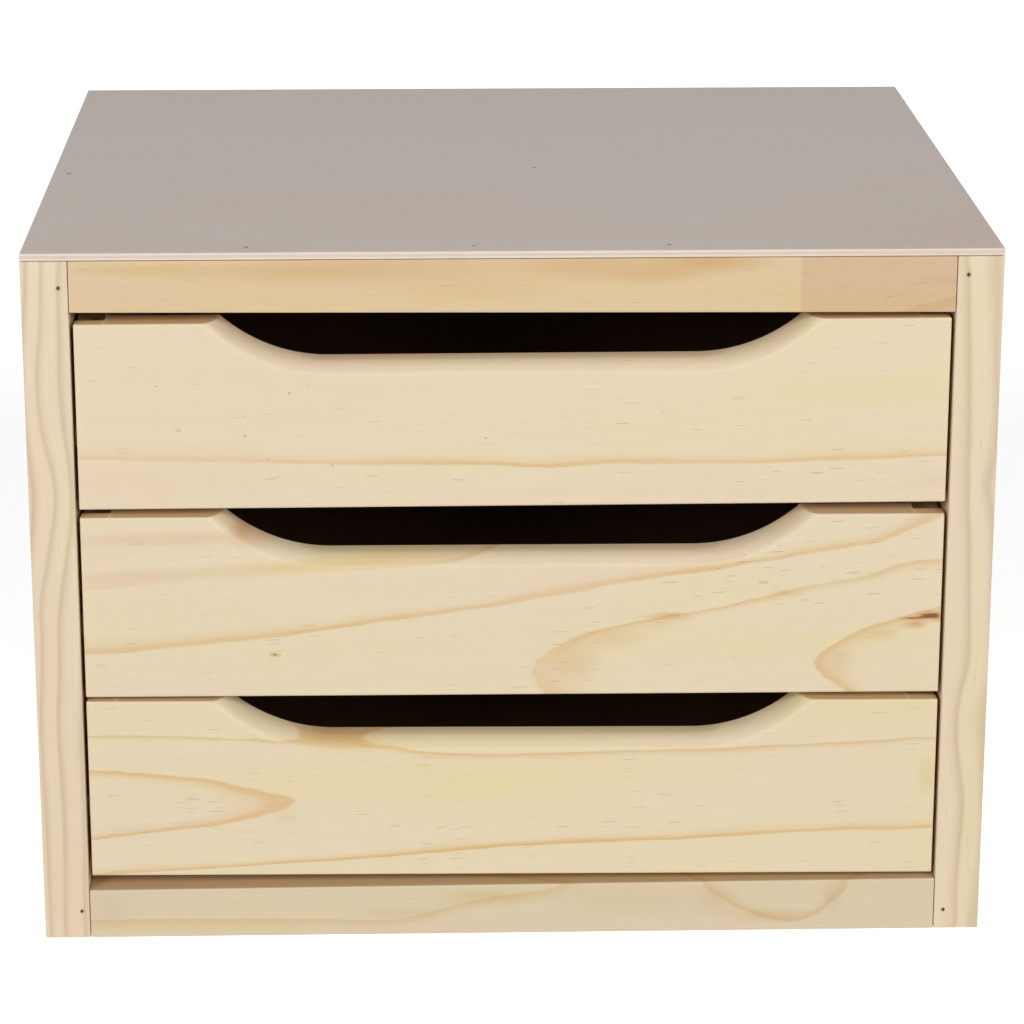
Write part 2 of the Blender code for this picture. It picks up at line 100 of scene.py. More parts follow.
# Grain figures of the drawer fronts and rails. A ring mark is (x, z, ring): the yearly ring's edge passes
# there, and a number between two whole ones is a place inside a ring. A zone is (x, z, reach along x, reach
# along z) and what it adds there: ring contrast, warmth (+ is pinker, - is yellower), dashes, specks, pitch.
FRONT_FIGURES = {
    "top": {
        "rings": (
            (20, 212.1, 2.00), (38, 211.6, 2.00), (60, 210.9, 2.00), (96, 210.2, 2.00), (120, 209.7, 2.00),
            (153, 209, 2.00), (194, 208.6, 2.00), (236, 208.5, 2.00), (264, 208.4, 2.00), (290, 208.7, 2.00),
            (318, 209.3, 2.00), (351, 209.7, 2.00), (378, 211, 2.00), (20, 220, 1.68), (120, 216.6, 1.68),
            (200, 214.6, 1.68), (300, 215.4, 1.68), (380, 218.2, 1.68), (20, 245, 1.45), (200, 242, 1.45),
            (380, 245, 1.45), (20, 270, 1.30), (200, 258, 1.38), (380, 270, 1.30), (20, 192, 2.32),
            (200, 192, 2.32),
            (380, 192, 2.36),
        ),
        "base": (0.40, 0.0, 0.45, 0.65, 0.0),
        "zones": (
            (60, 212, 45, 7, -0.08, -0.6, 0.0, 0.0, 0.0),
            (190, 210, 60, 6, 0.20, -0.6, 0.0, 0.0, 0.0),
            (330, 211, 45, 6, 0.12, -0.6, 0.0, 0.0, 0.0),
            (340, 245, 70, 60, 0.0, -0.35, 0.1, -0.45, 0.0),
            (70, 235, 90, 45, 0.0, 0.3, 0.0, 0.15, 0.0),
            (345, 203, 60, 7, 0.0, 0.0, 1.0, 0.0, 0.0),
            (230, 228, 70, 8, 0.0, 0.0, 0.5, 0.0, 0.0),
            (130, 200, 70, 6, 0.0, 0.0, 0.6, 0.0, 0.0),
            (45, 261, 30, 8, 0.0, 0.0, 0.6, 0.0, 0.0),
            (376, 201, 16, 7, 0.0, 0.3, 0.0, 0.0, 0.25),
            (62, 225, 1.4, 0.8, 0.0, 0.0, 0.0, 0.0, 0.75),
        ),
        "through": 0.020,
        "lean": 0.0,
    },
    "middle": {
        "rings": (
            (341, 109.4, 1.00), (336, 112.6, 1.00), (330, 117.6, 1.00), (328, 121.4, 1.00),
            (330, 125.2, 1.00), (336, 129.6, 1.00), (341, 132.7, 1.00), (350, 137, 1.00), (361, 140, 1.00),
            (378, 144.8, 1.00), (350, 109.4, 0.81), (345, 118.8, 0.81), (347, 123.7, 0.81),
            (353, 127.4, 0.81), (364, 133.8, 0.81), (378, 139.6, 0.81), (373, 120, 0.62), (290, 122, 1.42),
            (320, 136, 1.50), (214, 111.2, 2.00), (211, 118.7, 2.00), (214, 124, 2.00), (219, 128.4, 2.00),
            (224, 131.6, 2.00), (230, 134.4, 2.00), (237, 136.4, 2.00), (247, 138.8, 2.00),
            (258, 140.9, 2.00), (274, 143.9, 2.00), (293, 147.5, 2.00), (305, 150.3, 2.00),
            (328, 155.6, 2.00), (352, 160.1, 2.00), (379, 166.4, 2.00), (239, 109.6, 1.81),
            (234, 117.2, 1.81), (234, 124.8, 1.81), (239, 132.3, 1.81), (247, 135.3, 1.81), (258, 139, 1.81),
            (274, 142.4, 1.81), (300, 146, 1.79), (330, 152.7, 1.79), (362, 159.5, 1.79), (192, 132, 2.12),
            (190, 141, 2.14), (240, 149, 2.12), (290, 157, 2.12), (340, 166, 2.12), (375, 176, 2.12),
            (170, 126, 2.30), (155, 117, 2.36), (90, 114, 2.42), (20, 112, 2.40), (20, 128.5, 2.00),
            (40, 129.5, 2.00), (60, 131.9, 2.00), (80, 133.6, 2.00), (100, 135.3, 2.00), (120, 138.2, 2.00),
            (140, 141.1, 2.00), (160, 143.7, 2.00), (180, 146.7, 2.00), (200, 150, 2.00), (220, 153.6, 2.00),
            (240, 157.6, 2.00), (260, 160.2, 2.00), (280, 162.8, 2.00), (300, 166.3, 2.00),
            (320, 169.6, 2.00), (340, 173.2, 2.00), (360, 178.4, 2.00), (377, 186.4, 2.00), (60, 140, 1.75),
            (120, 143.8, 1.75), (180, 151.3, 1.75), (240, 164, 1.75), (300, 170.3, 1.75), (345, 180, 1.72),
            (20, 145, 1.50), (110, 155, 1.42), (200, 166, 1.44), (300, 184, 1.42), (20, 156.5, 1.00),
            (60, 159.5, 1.00), (100, 162, 1.00), (140, 164.5, 1.00), (180, 168, 1.04), (20, 166, 0.55),
            (75, 168, 0.55), (20, 174.3, 0.00), (50, 174.3, 0.00), (78, 175, 0.00), (20, 186, -0.35),
            (70, 186, -0.35),
        ),
        "base": (0.52, -0.25, 0.45, 0.18, 0.0),
        "zones": (
            (30, 152, 70, 17, 0.0, 0.5, -0.2, 0.0, 0.0),
            (80, 162, 130, 8, -0.55, 0.3, 0.0, 0.0, 0.0),
            (60, 177, 80, 7, -0.55, 0.4, 0.0, 0.0, 0.0),
            (35, 178, 28, 4.2, 0.0, 0.2, 0.0, 0.0, 0.34),
            (73, 178.8, 22, 4.2, 0.0, 0.2, 0.0, 0.0, 0.32),
            (94, 177, 9, 6, 0.0, 0.2, 0.0, 0.0, 0.30),
            (87, 181.5, 4, 5, 0.0, 0.2, 0.0, 0.0, 0.40),
            (28, 160.8, 26, 4.4, 0.0, 0.5, 0.0, 0.0, 0.26),
            (58, 162.6, 26, 4.2, 0.0, -0.2, 0.0, 0.0, 0.23),
            (90, 164, 26, 4.0, 0.0, -0.9, 0.0, 0.0, 0.25),
            (120, 166, 24, 3.2, 0.0, -1.2, 0.0, 0.0, 0.26),
            (148, 167.6, 22, 3.0, 0.0, -1.2, 0.0, 0.0, 0.26),
            (175, 169.5, 22, 2.6, 0.0, 0.0, 0.0, 0.0, 0.20),
            (150, 150, 90, 6, 0.0, 0.5, 0.0, 0.0, 0.0),
            (125, 141, 40, 5, 0.12, -0.3, 0.0, 0.0, 0.0),
            (315, 158, 60, 18, 0.0, 0.2, 1.0, 0.0, 0.0),
            (335, 157, 50, 6, -0.12, 0.0, 0.0, 0.0, 0.0),
            (227, 121, 13, 10, 0.0, -0.8, 0.1, 0.0, 0.33),
            (214, 119, 7, 9, -0.20, 0.0, 0.0, 0.0, 0.0),
            (244, 133, 15, 6, 0.0, -0.7, 0.0, 0.0, 0.34),
            (263, 139.5, 14, 4.5, 0.0, -0.8, 0.0, 0.0, 0.24),
            (354, 134, 10, 4, 0.0, -0.3, 0.0, 0.0, 0.36),
            (270, 162, 32, 5, 0.20, -0.4, 0.0, 0.0, 0.0),
            (338, 121, 9, 8, 0.0, -0.5, 0.0, 0.0, 0.28),
            (266, 142.6, 11, 1.7, 0.0, 0.3, 0.0, 0.0, 0.50),
            (314, 152.4, 10, 2.0, 0.0, 0.0, 0.0, 0.0, 0.38),
            (351, 160.4, 7, 1.6, 0.0, 0.0, 0.0, 0.0, 0.34),
            (100, 127, 2.6, 1.1, 0.0, -0.5, 0.0, 0.0, 0.95),
            (375, 141.9, 6, 1.8, 0.0, 0.0, 0.0, 0.0, 1.30),
            (365.5, 140.7, 6, 0.7, 0.0, 0.0, 0.0, 0.0, 0.90),
            (369, 138.1, 5, 1.9, 0.0, -0.6, 0.0, 0.0, 0.80),
            (379, 139.8, 3, 1.2, 0.0, 0.0, 0.0, 0.0, 0.50),
        ),
        "through": -0.012,
        "lean": 0.05,
    },
    "bottom": {
        "rings": (
            (20, 60, 0.45), (50, 60, 0.55), (78, 60.5, 0.84), (90, 60.5, 0.92), (104, 60.5, 1.00),
            (20, 75.5, 1.00), (40, 74.2, 1.00), (60, 72, 1.00), (75, 69.5, 1.00), (85, 66.8, 1.00),
            (96, 64, 1.00), (96, 56.8, 1.00), (85, 53.5, 1.00), (75, 51, 1.00), (60, 49.3, 1.00),
            (40, 47, 1.00), (20, 44.5, 1.00), (40, 70.5, 0.81), (65, 67.0, 0.82), (40, 50.5, 0.81),
            (65, 54.0, 0.82), (150, 60, 1.30), (200, 62, 1.38), (260, 63, 1.42), (320, 65, 1.44),
            (380, 67, 1.44), (20, 91.2, 2.00), (50, 90.9, 2.00), (80, 89.3, 2.00), (100, 88, 2.00),
            (120, 86.9, 2.00), (140, 85.2, 2.00), (160, 82.9, 2.00), (180, 81.5, 2.00), (200, 81.1, 2.00),
            (220, 81.6, 2.00), (240, 82.1, 2.00), (260, 82.4, 2.00), (280, 82.6, 2.00), (300, 83.4, 2.00),
            (320, 84.2, 2.00), (340, 85.1, 2.00), (360, 86.2, 2.00), (378, 87, 2.00), (20, 88.4, 1.62),
            (80, 87, 1.62), (140, 81.5, 1.70), (200, 77.5, 1.72), (260, 79, 1.72), (320, 81, 1.72),
            (375, 84, 1.72), (40, 29.5, 2.00), (60, 30.5, 2.00), (80, 31.6, 2.00), (100, 32.8, 2.00),
            (120, 33.8, 2.00), (140, 35.2, 2.00), (160, 36.8, 2.00), (180, 38.6, 2.00), (200, 40, 2.00),
            (220, 40.8, 2.00), (240, 41.5, 2.00), (260, 42.1, 2.00), (280, 42.8, 2.00), (300, 44, 2.00),
            (320, 45, 2.00), (340, 45.9, 2.00), (378, 46.6, 2.00), (80, 35.5, 1.70), (140, 39.5, 1.70),
            (200, 44.5, 1.72), (260, 47, 1.72), (320, 50, 1.72), (375, 51.5, 1.72), (20, 36, 1.55),
            (126, 92, 2.12), (96, 94, 2.30), (160, 89, 2.28), (200, 88, 2.30), (260, 89, 2.30),
            (20, 105, 2.40), (300, 95, 2.30), (378, 105, 2.60), (200, 30, 2.30), (300, 29, 2.40),
            (380, 28.5, 2.40),
        ),
        "base": (0.54, -0.4, 0.45, 0.12, 0.0),
        "zones": (
            (95, 61, 12, 6, 0.0, 0.2, 0.0, 0.0, 0.20),
            (124, 90.5, 13, 5, 0.0, 0.2, 0.0, 0.0, 0.60),
            (60, 91, 50, 3, -0.08, 0.0, 0.0, 0.0, 0.0),
            (190, 38, 170, 8, 0.22, -0.2, 0.0, 0.0, 0.0),
            (104, 53, 9, 4, 0.0, -0.4, 0.0, 0.0, 0.26),
            (84, 47.5, 12, 3.5, 0.0, -0.5, 0.0, 0.0, 0.24),
            (134, 85, 20, 4, 0.0, -0.9, 0.0, 0.0, 0.22),
            (190, 68, 60, 6, 0.0, -0.5, 0.0, 0.0, 0.0),
            (376, 70, 6, 13, 0.0, -1.2, 0.4, 0.0, 0.28),
            (300, 60, 80, 16, 0.0, 0.5, 0.0, 0.3, 0.0),
            (190, 48, 90, 7, 0.0, 0.0, 0.5, 0.0, 0.0),
            (40, 62, 40, 10, 0.0, 0.2, 0.5, 0.0, 0.0),
        ),
        "through": -0.012,
        "lean": 0.01,
    },
}
RAIL_FIGURES = {
    "top": {
        "rings": (
            (20, 275, 1.20), (160, 275, 1.22), (310, 275, 1.20), (20, 296, 1.55), (160, 296, 1.62),
            (232, 296, 1.93), (262, 296, 1.95), (284, 296, 1.93), (262, 290, 1.85), (310, 296, 1.60),
        ),
        "base": (0.34, -0.3, 0.6, 0.08, 0.0),
        "zones": (
            (165, 294, 75, 8, 0.0, -0.2, 0.0, 0.0, 0.31),
            (222, 294, 16, 5, 0.0, 0.0, 0.0, 0.0, 0.16),
            (285, 295, 22, 3.5, 0.0, -0.3, 0.3, 0.0, 0.38),
            (255, 289, 20, 4, 0.0, 0.0, 0.0, 0.0, 0.24),
            (45, 293, 34, 3, 0.0, -1.4, 0.9, 0.0, 0.24),
            (80, 286, 70, 12, 0.0, -0.5, 0.0, 0.0, 0.10),
            (262, 292, 42, 5, 0.0, -0.6, 0.0, 0.0, 0.20),
            (115, 292, 40, 5, 0.0, -0.6, 0.0, 0.0, 0.20),
            (190, 282, 40, 6, 0.0, -0.6, 0.0, 0.0, 0.20),
            (270, 280, 30, 6, 0.0, 0.5, 0.0, 0.0, 0.0),
            (375, 287, 16, 4, 0.0, 0.4, 0.3, 0.0, 0.26),
            (285, 289, 30, 4, 0.0, 0.0, 0.6, 0.0, 0.0),
        ),
        "through": 0.01,
        "lean": 0.06,
    },
    "bottom": {
        "rings": (
            (20, 8, 2.00), (50, 8, 2.00), (86, 7.7, 2.00), (130, 6.8, 2.00), (155, 7.5, 2.00),
            (169, 11.5, 2.00), (181, 14.6, 2.00), (201, 18, 2.00), (218, 20.6, 2.00), (20, 18, 2.30),
            (100, 18, 2.30), (20, 2, 1.80), (120, 1, 1.80), (190, 10, 1.75), (225, 14, 1.70), (215, 4, 1.50),
            (250, 12, 1.30), (281, 22.6, 1.00), (283, 19.3, 1.00), (289, 15.1, 1.00), (295, 11.3, 1.00),
            (301, 8.4, 1.00), (307, 6, 1.00), (313, 4.5, 1.00), (323, 4.4, 1.00), (328, 6.2, 1.00),
            (333, 9.2, 1.00), (336, 12.2, 1.00), (340, 15.5, 1.00), (343, 21.9, 1.00), (288, 22.5, 0.81),
            (294, 17.8, 0.81), (301, 13.5, 0.81), (307, 10.7, 0.81), (313, 9.4, 0.81), (323, 9.3, 0.81),
            (327, 11.4, 0.81), (330, 14.4, 0.81), (333, 22, 0.81), (314, 18, 0.62), (368, 8, 1.40),
        ),
        "base": (0.34, 0.1, 0.4, 0.06, 0.0),
        "zones": (
            (70, 5.5, 60, 2.5, 0.0, -0.8, 1.0, 0.0, 0.10),
            (150, 10, 24, 4, 0.0, -0.2, 0.3, 0.0, 0.30),
            (185, 17, 20, 4.5, 0.0, -0.2, 0.2, 0.0, 0.30),
            (252, 15, 55, 12, 0.0, 0.0, 0.0, 0.0, 0.26),
            (288, 15, 8, 6, 0.0, 0.0, 0.0, 0.0, 0.20),
            (312, 6.5, 22, 4, 0.06, -0.4, 0.3, 0.0, 0.33),
            (337, 16, 6, 8, 0.0, 0.0, 1.0, 0.0, 0.30),
            (28, 13, 14, 12, 0.0, 0.2, 0.0, 0.0, 0.24),
            (230, 8, 40, 6, 0.0, 0.6, 0.0, 0.0, 0.0),
        ),
        "through": -0.02,
        "lean": 0.0,
    },
}
# The top rail is two lengths glued end to end, at an x in millimetres. The right one is browner and has more
# dashes: what is added to its ring number, contrast and warmth, and to its dashes, specks and pitch.
RAIL_JOINT_X = 317
RAIL_JOINT_BLUR = 0.0012
TOP_RAIL_RIGHT_FIGURE = (0.15, -0.1, 0.0)
TOP_RAIL_RIGHT_FLAWS = (0.5, 0, 0)
# How much darker and browner than a front's face the rest is, as shares of red, green and blue: the rails,
# the tops of rails, fronts and drawer sides, where it is painted shade from the narrow gaps above them, the
# floor of a scoop, also painted shade, and end grain
RAIL_TINTS = {"top": (0.905, 0.81, 0.71), "bottom": (0.875, 0.875, 0.875)}
TOP_RAIL_RIGHT_TINT = (0.825, 0.69, 0.625)
UPWARD_SHADE = (0.905, 0.745, 0.58)
# The floor of a scoop, beside the dark inside of the drawer, is painted a little darker as shade
SCOOP_FLOOR_SHADE = (1.0, 0.95, 0.88)
END_GRAIN_TINT = (0.84, 0.72, 0.60)
# How much paler than the planed face the middle of a scoop's rounding is painted, as a share: painted light
ROUNDING_LIGHT_SHARE = 0.16
# How much of the plywood's colour is left in the dent over a brad, as a share: painted shade in the pit
DENT_SHADE_SHARE = 0.12
# How far each edge climbs for each metre to the right, as the model has it
FRONT_CLIMBS = {"bottom": -0.0066, "middle": -0.0024, "top": 0.0019}
RAIL_EDGE_CLIMBS = {"top": -0.0055, "bottom": 0.0039}
# Front edges of the side panels, in the same way: the rings run upright there
STILE_FIGURES = {
    "left": (
        (20.5, 285, 0.40), (21, 200, 0.55), (17, 150, 0.40), (15.6, 110, 0.30), (15, 60, 0.30), (14, 5, 0.30),
        (14.5, 285, 1.00), (14.3, 262, 1.00), (14, 240, 1.00), (15.6, 220, 1.00), (17, 200, 1.00),
        (17, 190, 1.00), (15, 175, 1.00), (12.4, 160, 1.00), (10, 140, 1.00), (8.2, 100, 1.00), (8, 5, 1.00),
        (8, 290, 2.00), (7, 270, 2.00), (5, 250, 2.00), (5.6, 230, 2.00), (8, 215, 2.00), (10.4, 204, 2.00),
        (10.4, 192, 2.00), (8.4, 180, 2.00), (5.6, 165, 2.00), (3.4, 154, 2.00), (2.8, 130, 2.00),
        (2, 5, 2.00), (1, 280, 3.00), (-1, 235, 3.00), (1.2, 190, 3.00), (-3.5, 140, 3.00), (-4, 5, 3.00),
    ),
    "right": (
        (380, 290, 0.60), (382.5, 200, 0.60), (384, 100, 0.60), (383, 5, 0.60), (386, 288, 1.00),
        (387.4, 260, 1.00), (388.2, 240, 1.00), (388.8, 220, 1.00), (389.2, 200, 1.00), (390.2, 180, 1.00),
        (391, 155, 1.00), (391.8, 120, 1.00), (391.8, 60, 1.00), (391, 5, 1.00), (393, 290, 1.75),
        (394, 200, 1.75), (395.5, 100, 1.75), (395, 5, 1.75), (398.5, 290, 2.00), (399, 250, 2.00),
        (399.5, 210, 2.00), (400.5, 180, 2.00), (401, 150, 2.00), (401, 100, 2.00), (400.5, 60, 2.00),
        (400.5, 5, 2.00),
    ),
}
# The side panels' ring contrast, and their dashes, specks and pitch. From the first to the second x the front
# of the right one turns yellower.
PANEL_CONTRAST = 0.42
PANEL_FLAWS = (0.22, 0.1, 0.0)
YELLOW_FROM_X, YELLOW_TO_X, YELLOW_AMOUNT = 391.5, 393.5, 0.45
# Pine of the boards inside, each sawn from its own log: how far the pith lies beside and behind the board in
# metres, how it leans, and ring contrast, warmth, dashes, specks and pitch
INNER_PINE = {
    "top_back_rail": (0.012, -0.040, 0.03, (0.6, -0.2, 0.3, 0.1, 0)),
    "bottom_back_rail": (-0.018, 0.055, 0.03, (0.6, -0.2, 0.3, 0.1, 0)),
    "top_middle_batten": (0.030, -0.025, 0.03, (0.6, -0.2, 0.3, 0.1, 0)),
    "runner": (0.011, 0.02, 0.04, (0.6, 0.1, 0.3, 0.1, 0)),
    "drawer_side": (0.013, 0.022, 0.07, (0.66, 0.35, 0.35, 0.2, 0)),
    "drawer_back": (0.02, 0.03, 0.05, (0.66, 0.0, 0.3, 0.2, 0)),
}
# How high above a drawer side's lower edge its pith lies on average
DRAWER_SIDE_PITH = 0.03
# How far the pattern moves along, across and through the wood from one board's seed to the next one's
SEED_SHIFT = (0.37, 0.113, 0.071)

# How the year darkens: place in the year, and share of summer wood
SEASON = (
    (0.0, 0.6), (0.012, 0.12), (0.03, 0.0), (0.78, 0.0), (0.86, 0.20), (0.92, 0.44), (0.955, 0.90),
    (0.98, 1.0), (1.0, 1.0),
)
# The same in the side panels, whose rings fade in and out more softly
PANEL_SEASON = (
    (0.0, 0.7), (0.06, 0.3), (0.16, 0.0), (0.55, 0.0), (0.74, 0.3), (0.88, 0.8), (0.96, 1.0), (1.0, 0.95)
)
# The plywood's middle layer and its two glue lines, by place through the sheet
CORE_LAYER = ((0.0, 0.0), (0.33, 0.0), (0.36, 1.0), (0.64, 1.0), (0.67, 0.0), (1.0, 0.0))
GLUE_LINES = ((0.0, 0.0), (0.31, 0.0), (0.345, 0.35), (0.38, 0.0), (0.62, 0.0), (0.655, 0.35), (0.69, 0.0))
# Staves of a side panel behind the front one: the pith's place across the stave in stave widths, how far it
# lies behind the face in millimetres and how it leans, and the stave's warmth
STAVES = ((0.45, 26, -0.06, 0.3), (0.9, 48, 0.10, -0.5), (0.2, 18, 0.05, 0.1), (0.6, 60, -0.12, -0.25))
# Browner half of the plywood top: its edge passes through the marks of height 1, and it is brownest where
# they are highest
TOP_SHEET_MARKS = (
    (90, 155, 1.0), (130, 150, 1.0), (180, 130, 1.0), (200, 125, 1.0), (230, 95, 1.0), (260, 62, 1.0),
    (285, 45, 1.0), (40, 260, 0.2), (350, 330, -0.4), (380, 60, 1.8), (385, 10, 2.3), (150, 30, 1.35),
    (10, 20, 1.2),
)
# Share of the plywood's pore cells that hold a pore
SHEET_PORES = 0.5
# Brads through the plywood back, in metres from the middle and from the floor
BACK_BRADS = (
    (-0.190, 0.020), (-0.190, 0.105), (-0.190, 0.190), (-0.190, 0.280), (0.190, 0.020), (0.190, 0.105),
    (0.190, 0.190), (0.190, 0.280), (-0.095, 0.286), (0.0, 0.286), (0.095, 0.286), (-0.095, 0.011),
    (0.0, 0.011), (0.095, 0.011),
)
# Finger scoop, as the model has it: depth, radius at its ends, and the rounding towards the face
SCOOP_HALF_WIDTH = 0.1205
SCOOP_DEPTH = 0.0173
SCOOP_END_RADIUS = 0.066
SCOOP_ROUND_WIDTH = 0.0055
SCOOP_ROUND_DEPTH = 0.013
SCOOP_ARC_X = SCOOP_HALF_WIDTH - math.sqrt(SCOOP_END_RADIUS**2 - (SCOOP_END_RADIUS - SCOOP_DEPTH) ** 2)
# What stays open between boards, under a runner and past its tip
GAP = 0.0003
RUNNER_UNDER_GAP = 0.0007
SLOT_SPARE = 0.0005
# Easing of a drawer side's lower edges, of its slot's mouth and of its upper edges
LOWER_EASING, MOUTH_EASING, UPPER_EASING = 0.0005, 0.0002, 0.0008
# Pits that driven brads leave: their depths in pine, in the top and in the back, the two shares of the
# radius between which the wall stands, the top's pits as a share of the others, and the edge of the painted
# shade in them
PINE_PIT_DEPTH, TOP_PIT_DEPTH, BACK_PIT_DEPTH = 0.0008, 0.0007, 0.0006
PIT_WALL_SHARES = (0.75, 1.2)
TOP_PIT_SHARE = 0.75
DENT_SHADE_EDGES = (0.85, 1.2)
# Brad heads in the back: radius, how far they rise, how deep their rims lie, and sides and rings of points
HEAD_RADIUS, HEAD_RISE, HEAD_DEPTH = 0.0008, 0.0002, 0.0005
HEAD_SIDES, HEAD_RINGS = 12, 5
# How far a point may be from a face and still belong to it, how near two points count as one, and how many
# of a brad's points are taken for its head
FACE_REACH = 0.0002
SAME_PLACE = 1e-7
HEAD_POINTS = 12
# Extra grid lines over an eased edge, as shares of its radius, and across a pit, as shares of the pit's
EDGE_LINE_SHARES = (0.18, 0.40, 0.66, 1.0)
PIT_LINE_SHARES = (-1.2, -0.85, -0.5, 0, 0.5, 0.85, 1.2)
# Points round a rounded corner of an outline
CORNER_POINTS = 5
# A bent plate's unit of distance in millimetres, and how soft it is where it passes the marks
PLATE_UNIT = 30
PLATE_SOFTNESS = 1e-4
# Spacing of a board's grid lines along x, y and z, and of a drawer side's round its section and along it
SPACINGS = {
    "side_panel": (0.0012, 0.0025, 0.004),
    "top": (0.005, 0.005, 0.0006),
    "back": (0.005, 0.0006, 0.005),
    "front_rail": (0.002, 0.0015, 0.0008),
    "inner_rail": (0.004, 0.0015, 0.0015),
    "runner": (0.001, 0.004, 0.001),
    "drawer_back": (0.003, 0.0015, 0.0012),
    "drawer_bottom": (0.006, 0.006, 0.0006),
    "drawer_side": (0.0011, 0.0035),
}
# Columns of a drawer front's grid along half of its scoop, on to the shoulder and past it, and its rows round
# an eased edge, up the face, over the rounding and down the back
SCOOP_COLUMNS, LAND_COLUMNS, TAIL_COLUMNS = 82, 26, 8
EASED_ROWS, FACE_ROWS, OVER_ROWS, REAR_ROWS = 6, 116, 26, 26
# Shares of a normal between which a point counts as facing up, as halfway up a rounding, or as end grain,
# how far the front arris reaches back, and the angle in degrees past which an edge is drawn sharp
UPWARD_SHARES, HALFWAY_SHARES, END_SHARES = (0.97, 0.995), (0.65, 0.95), (0.8, 0.95)
FRONT_ARRIS = 0.0006
SHARP_ANGLE = 38

# Camera and light, in metres, degrees and watts, with lens and sensor in millimetres. The camera is the one
# that the photograph's edges fit.
CAMERA_PLACE = (-0.0441, -1.6339, 0.6450)
CAMERA_TURN = (72.659, -0.050, -1.687)
CAMERA_LENS, CAMERA_SENSOR, CAMERA_NEAR = 129.8, 36, 0.05
LAMP_TARGET = (0.0, -0.10, 0.15)
LAMPS = (
    ("key_left", (-2.25, -2.95, 1.60), (1.35, 1.35), 68.5),
    ("key_right", (2.25, -2.95, 1.60), (1.35, 1.35), 68.5),
)
AMBIENT = 0.15
# Glow of the floor by distance from the chest in metres, its sides, where its rings lie as shares of its
# radius, and how far it lies under the feet
FLOOR_GLOW = ((0.6, 0.76), (1.8, 1.0))
FLOOR_SIDES = 48
FLOOR_RING_SHARES = (0.02, 0.1, 0.3, 0.6, 1.0)
FLOOR_DROP = 0.0001


def length(name, description, default):
    """A length that the user can change."""
    return FloatProperty(name=name, description=description, default=default, min=0, unit="LENGTH")


def colour(name, description, default):
    """A colour that the user can change, given as sRGB hex."""
    return FloatVectorProperty(
        name=name, description=description, default=linear(default), subtype="COLOR", min=0, max=1
    )


class ChestSizes(bpy.types.PropertyGroup):
    """Sizes of the details that the plain boards don't have."""

    board_easing: length("Board easing", "Radius that the edges of the pine boards are eased to", 0.0005)
    front_easing: length("Front easing", "Radius round the face of a drawer front", 0.0008)
    sheet_easing: length("Sheet easing", "Radius on the edges of the plywood", 0.0003)
    pit_radius: length("Brad pit radius", "Radius of the dent that a driven brad leaves", 0.0009)
    stave_width: length("Stave width", "Width of the strips that the side panels are glued up from", 0.070)
    ring_width: length("Ring width", "Thickness of one year of growth", 0.0062)
    floor_radius: length("Floor radius", "Radius of the studio floor", 7.0)


class ChestColours(bpy.types.PropertyGroup):
    """Colours of the wood, the brads and the floor."""

    spring_wood: colour("Spring wood", "Pale, fast-grown part of each ring", "#E9D8B9")
    yellow_wood: colour("Yellow wood", "Where the board is yellowest", "#E7D79F")
    pink_wood: colour("Pink wood", "Where the board is pinkest", "#EBCEB7")
    summer_wood: colour("Summer wood", "Dark edge of each ring", "#D6A556")
    panel_summer: colour("Panel summer wood", "Dark edge of each ring in the side panels", "#BC9872")
    veneer: colour("Veneer", "Face layers of the plywood", "#ECE0D6")
    core: colour("Plywood core", "Middle layer of the plywood", "#DCCDB6")
    resin: colour("Resin", "Dashes where resin ducts are cut open", "#94795A")
    amber: colour("Amber", "Resin-soaked wood round a pitch streak", "#C8934A")
    pitch: colour("Pitch", "Pitch streaks", "#6B3714")
    wire: colour("Brad wire", "Dull wire of the brads", "#5E5344")
    hardboard: colour("Hardboard", "Brown pressed fibre of the drawer bottoms", "#805C40")
    floor: colour("Floor", "Pale studio floor", "#D8D8D8")


def grid_quads(rows, columns):
    """Faces of a grid of points stored row by row: rows first, then columns, turn about the normal."""
    first = (np.arange(rows - 1)[:, None] * columns + np.arange(columns - 1)[None, :]).ravel()
    return np.stack([first, first + columns, first + columns + 1, first + 1], axis=1)


def ring_quads(rows, columns):
    """Faces of a grid of points whose last column joins its first."""
    quads = grid_quads(rows, columns + 1)
    return quads // (columns + 1) * columns + quads % (columns + 1) % columns


def merged(points, faces):
    """Points that share a place to a tenth of a micrometre become one."""
    keys = np.round(points / SAME_PLACE).astype(np.int64)
    _, firsts, inverse = np.unique(keys, axis=0, return_index=True, return_inverse=True)
    return points[firsts], inverse.reshape(-1)[faces]


def grid_lines(low, high, spacing, easing, extra=()):
    """Grid lines from low to high, even in the middle and closer over the eased edges."""
    even = np.linspace(low, high, max(int(round((high - low) / spacing)), 1) + 1)
    near = easing * np.array(EDGE_LINE_SHARES)
    lines = np.concatenate([even, low + near, high - near, np.asarray(extra, float).ravel()])
    return np.unique(np.round(lines[(lines >= low) & (lines <= high)], 6))


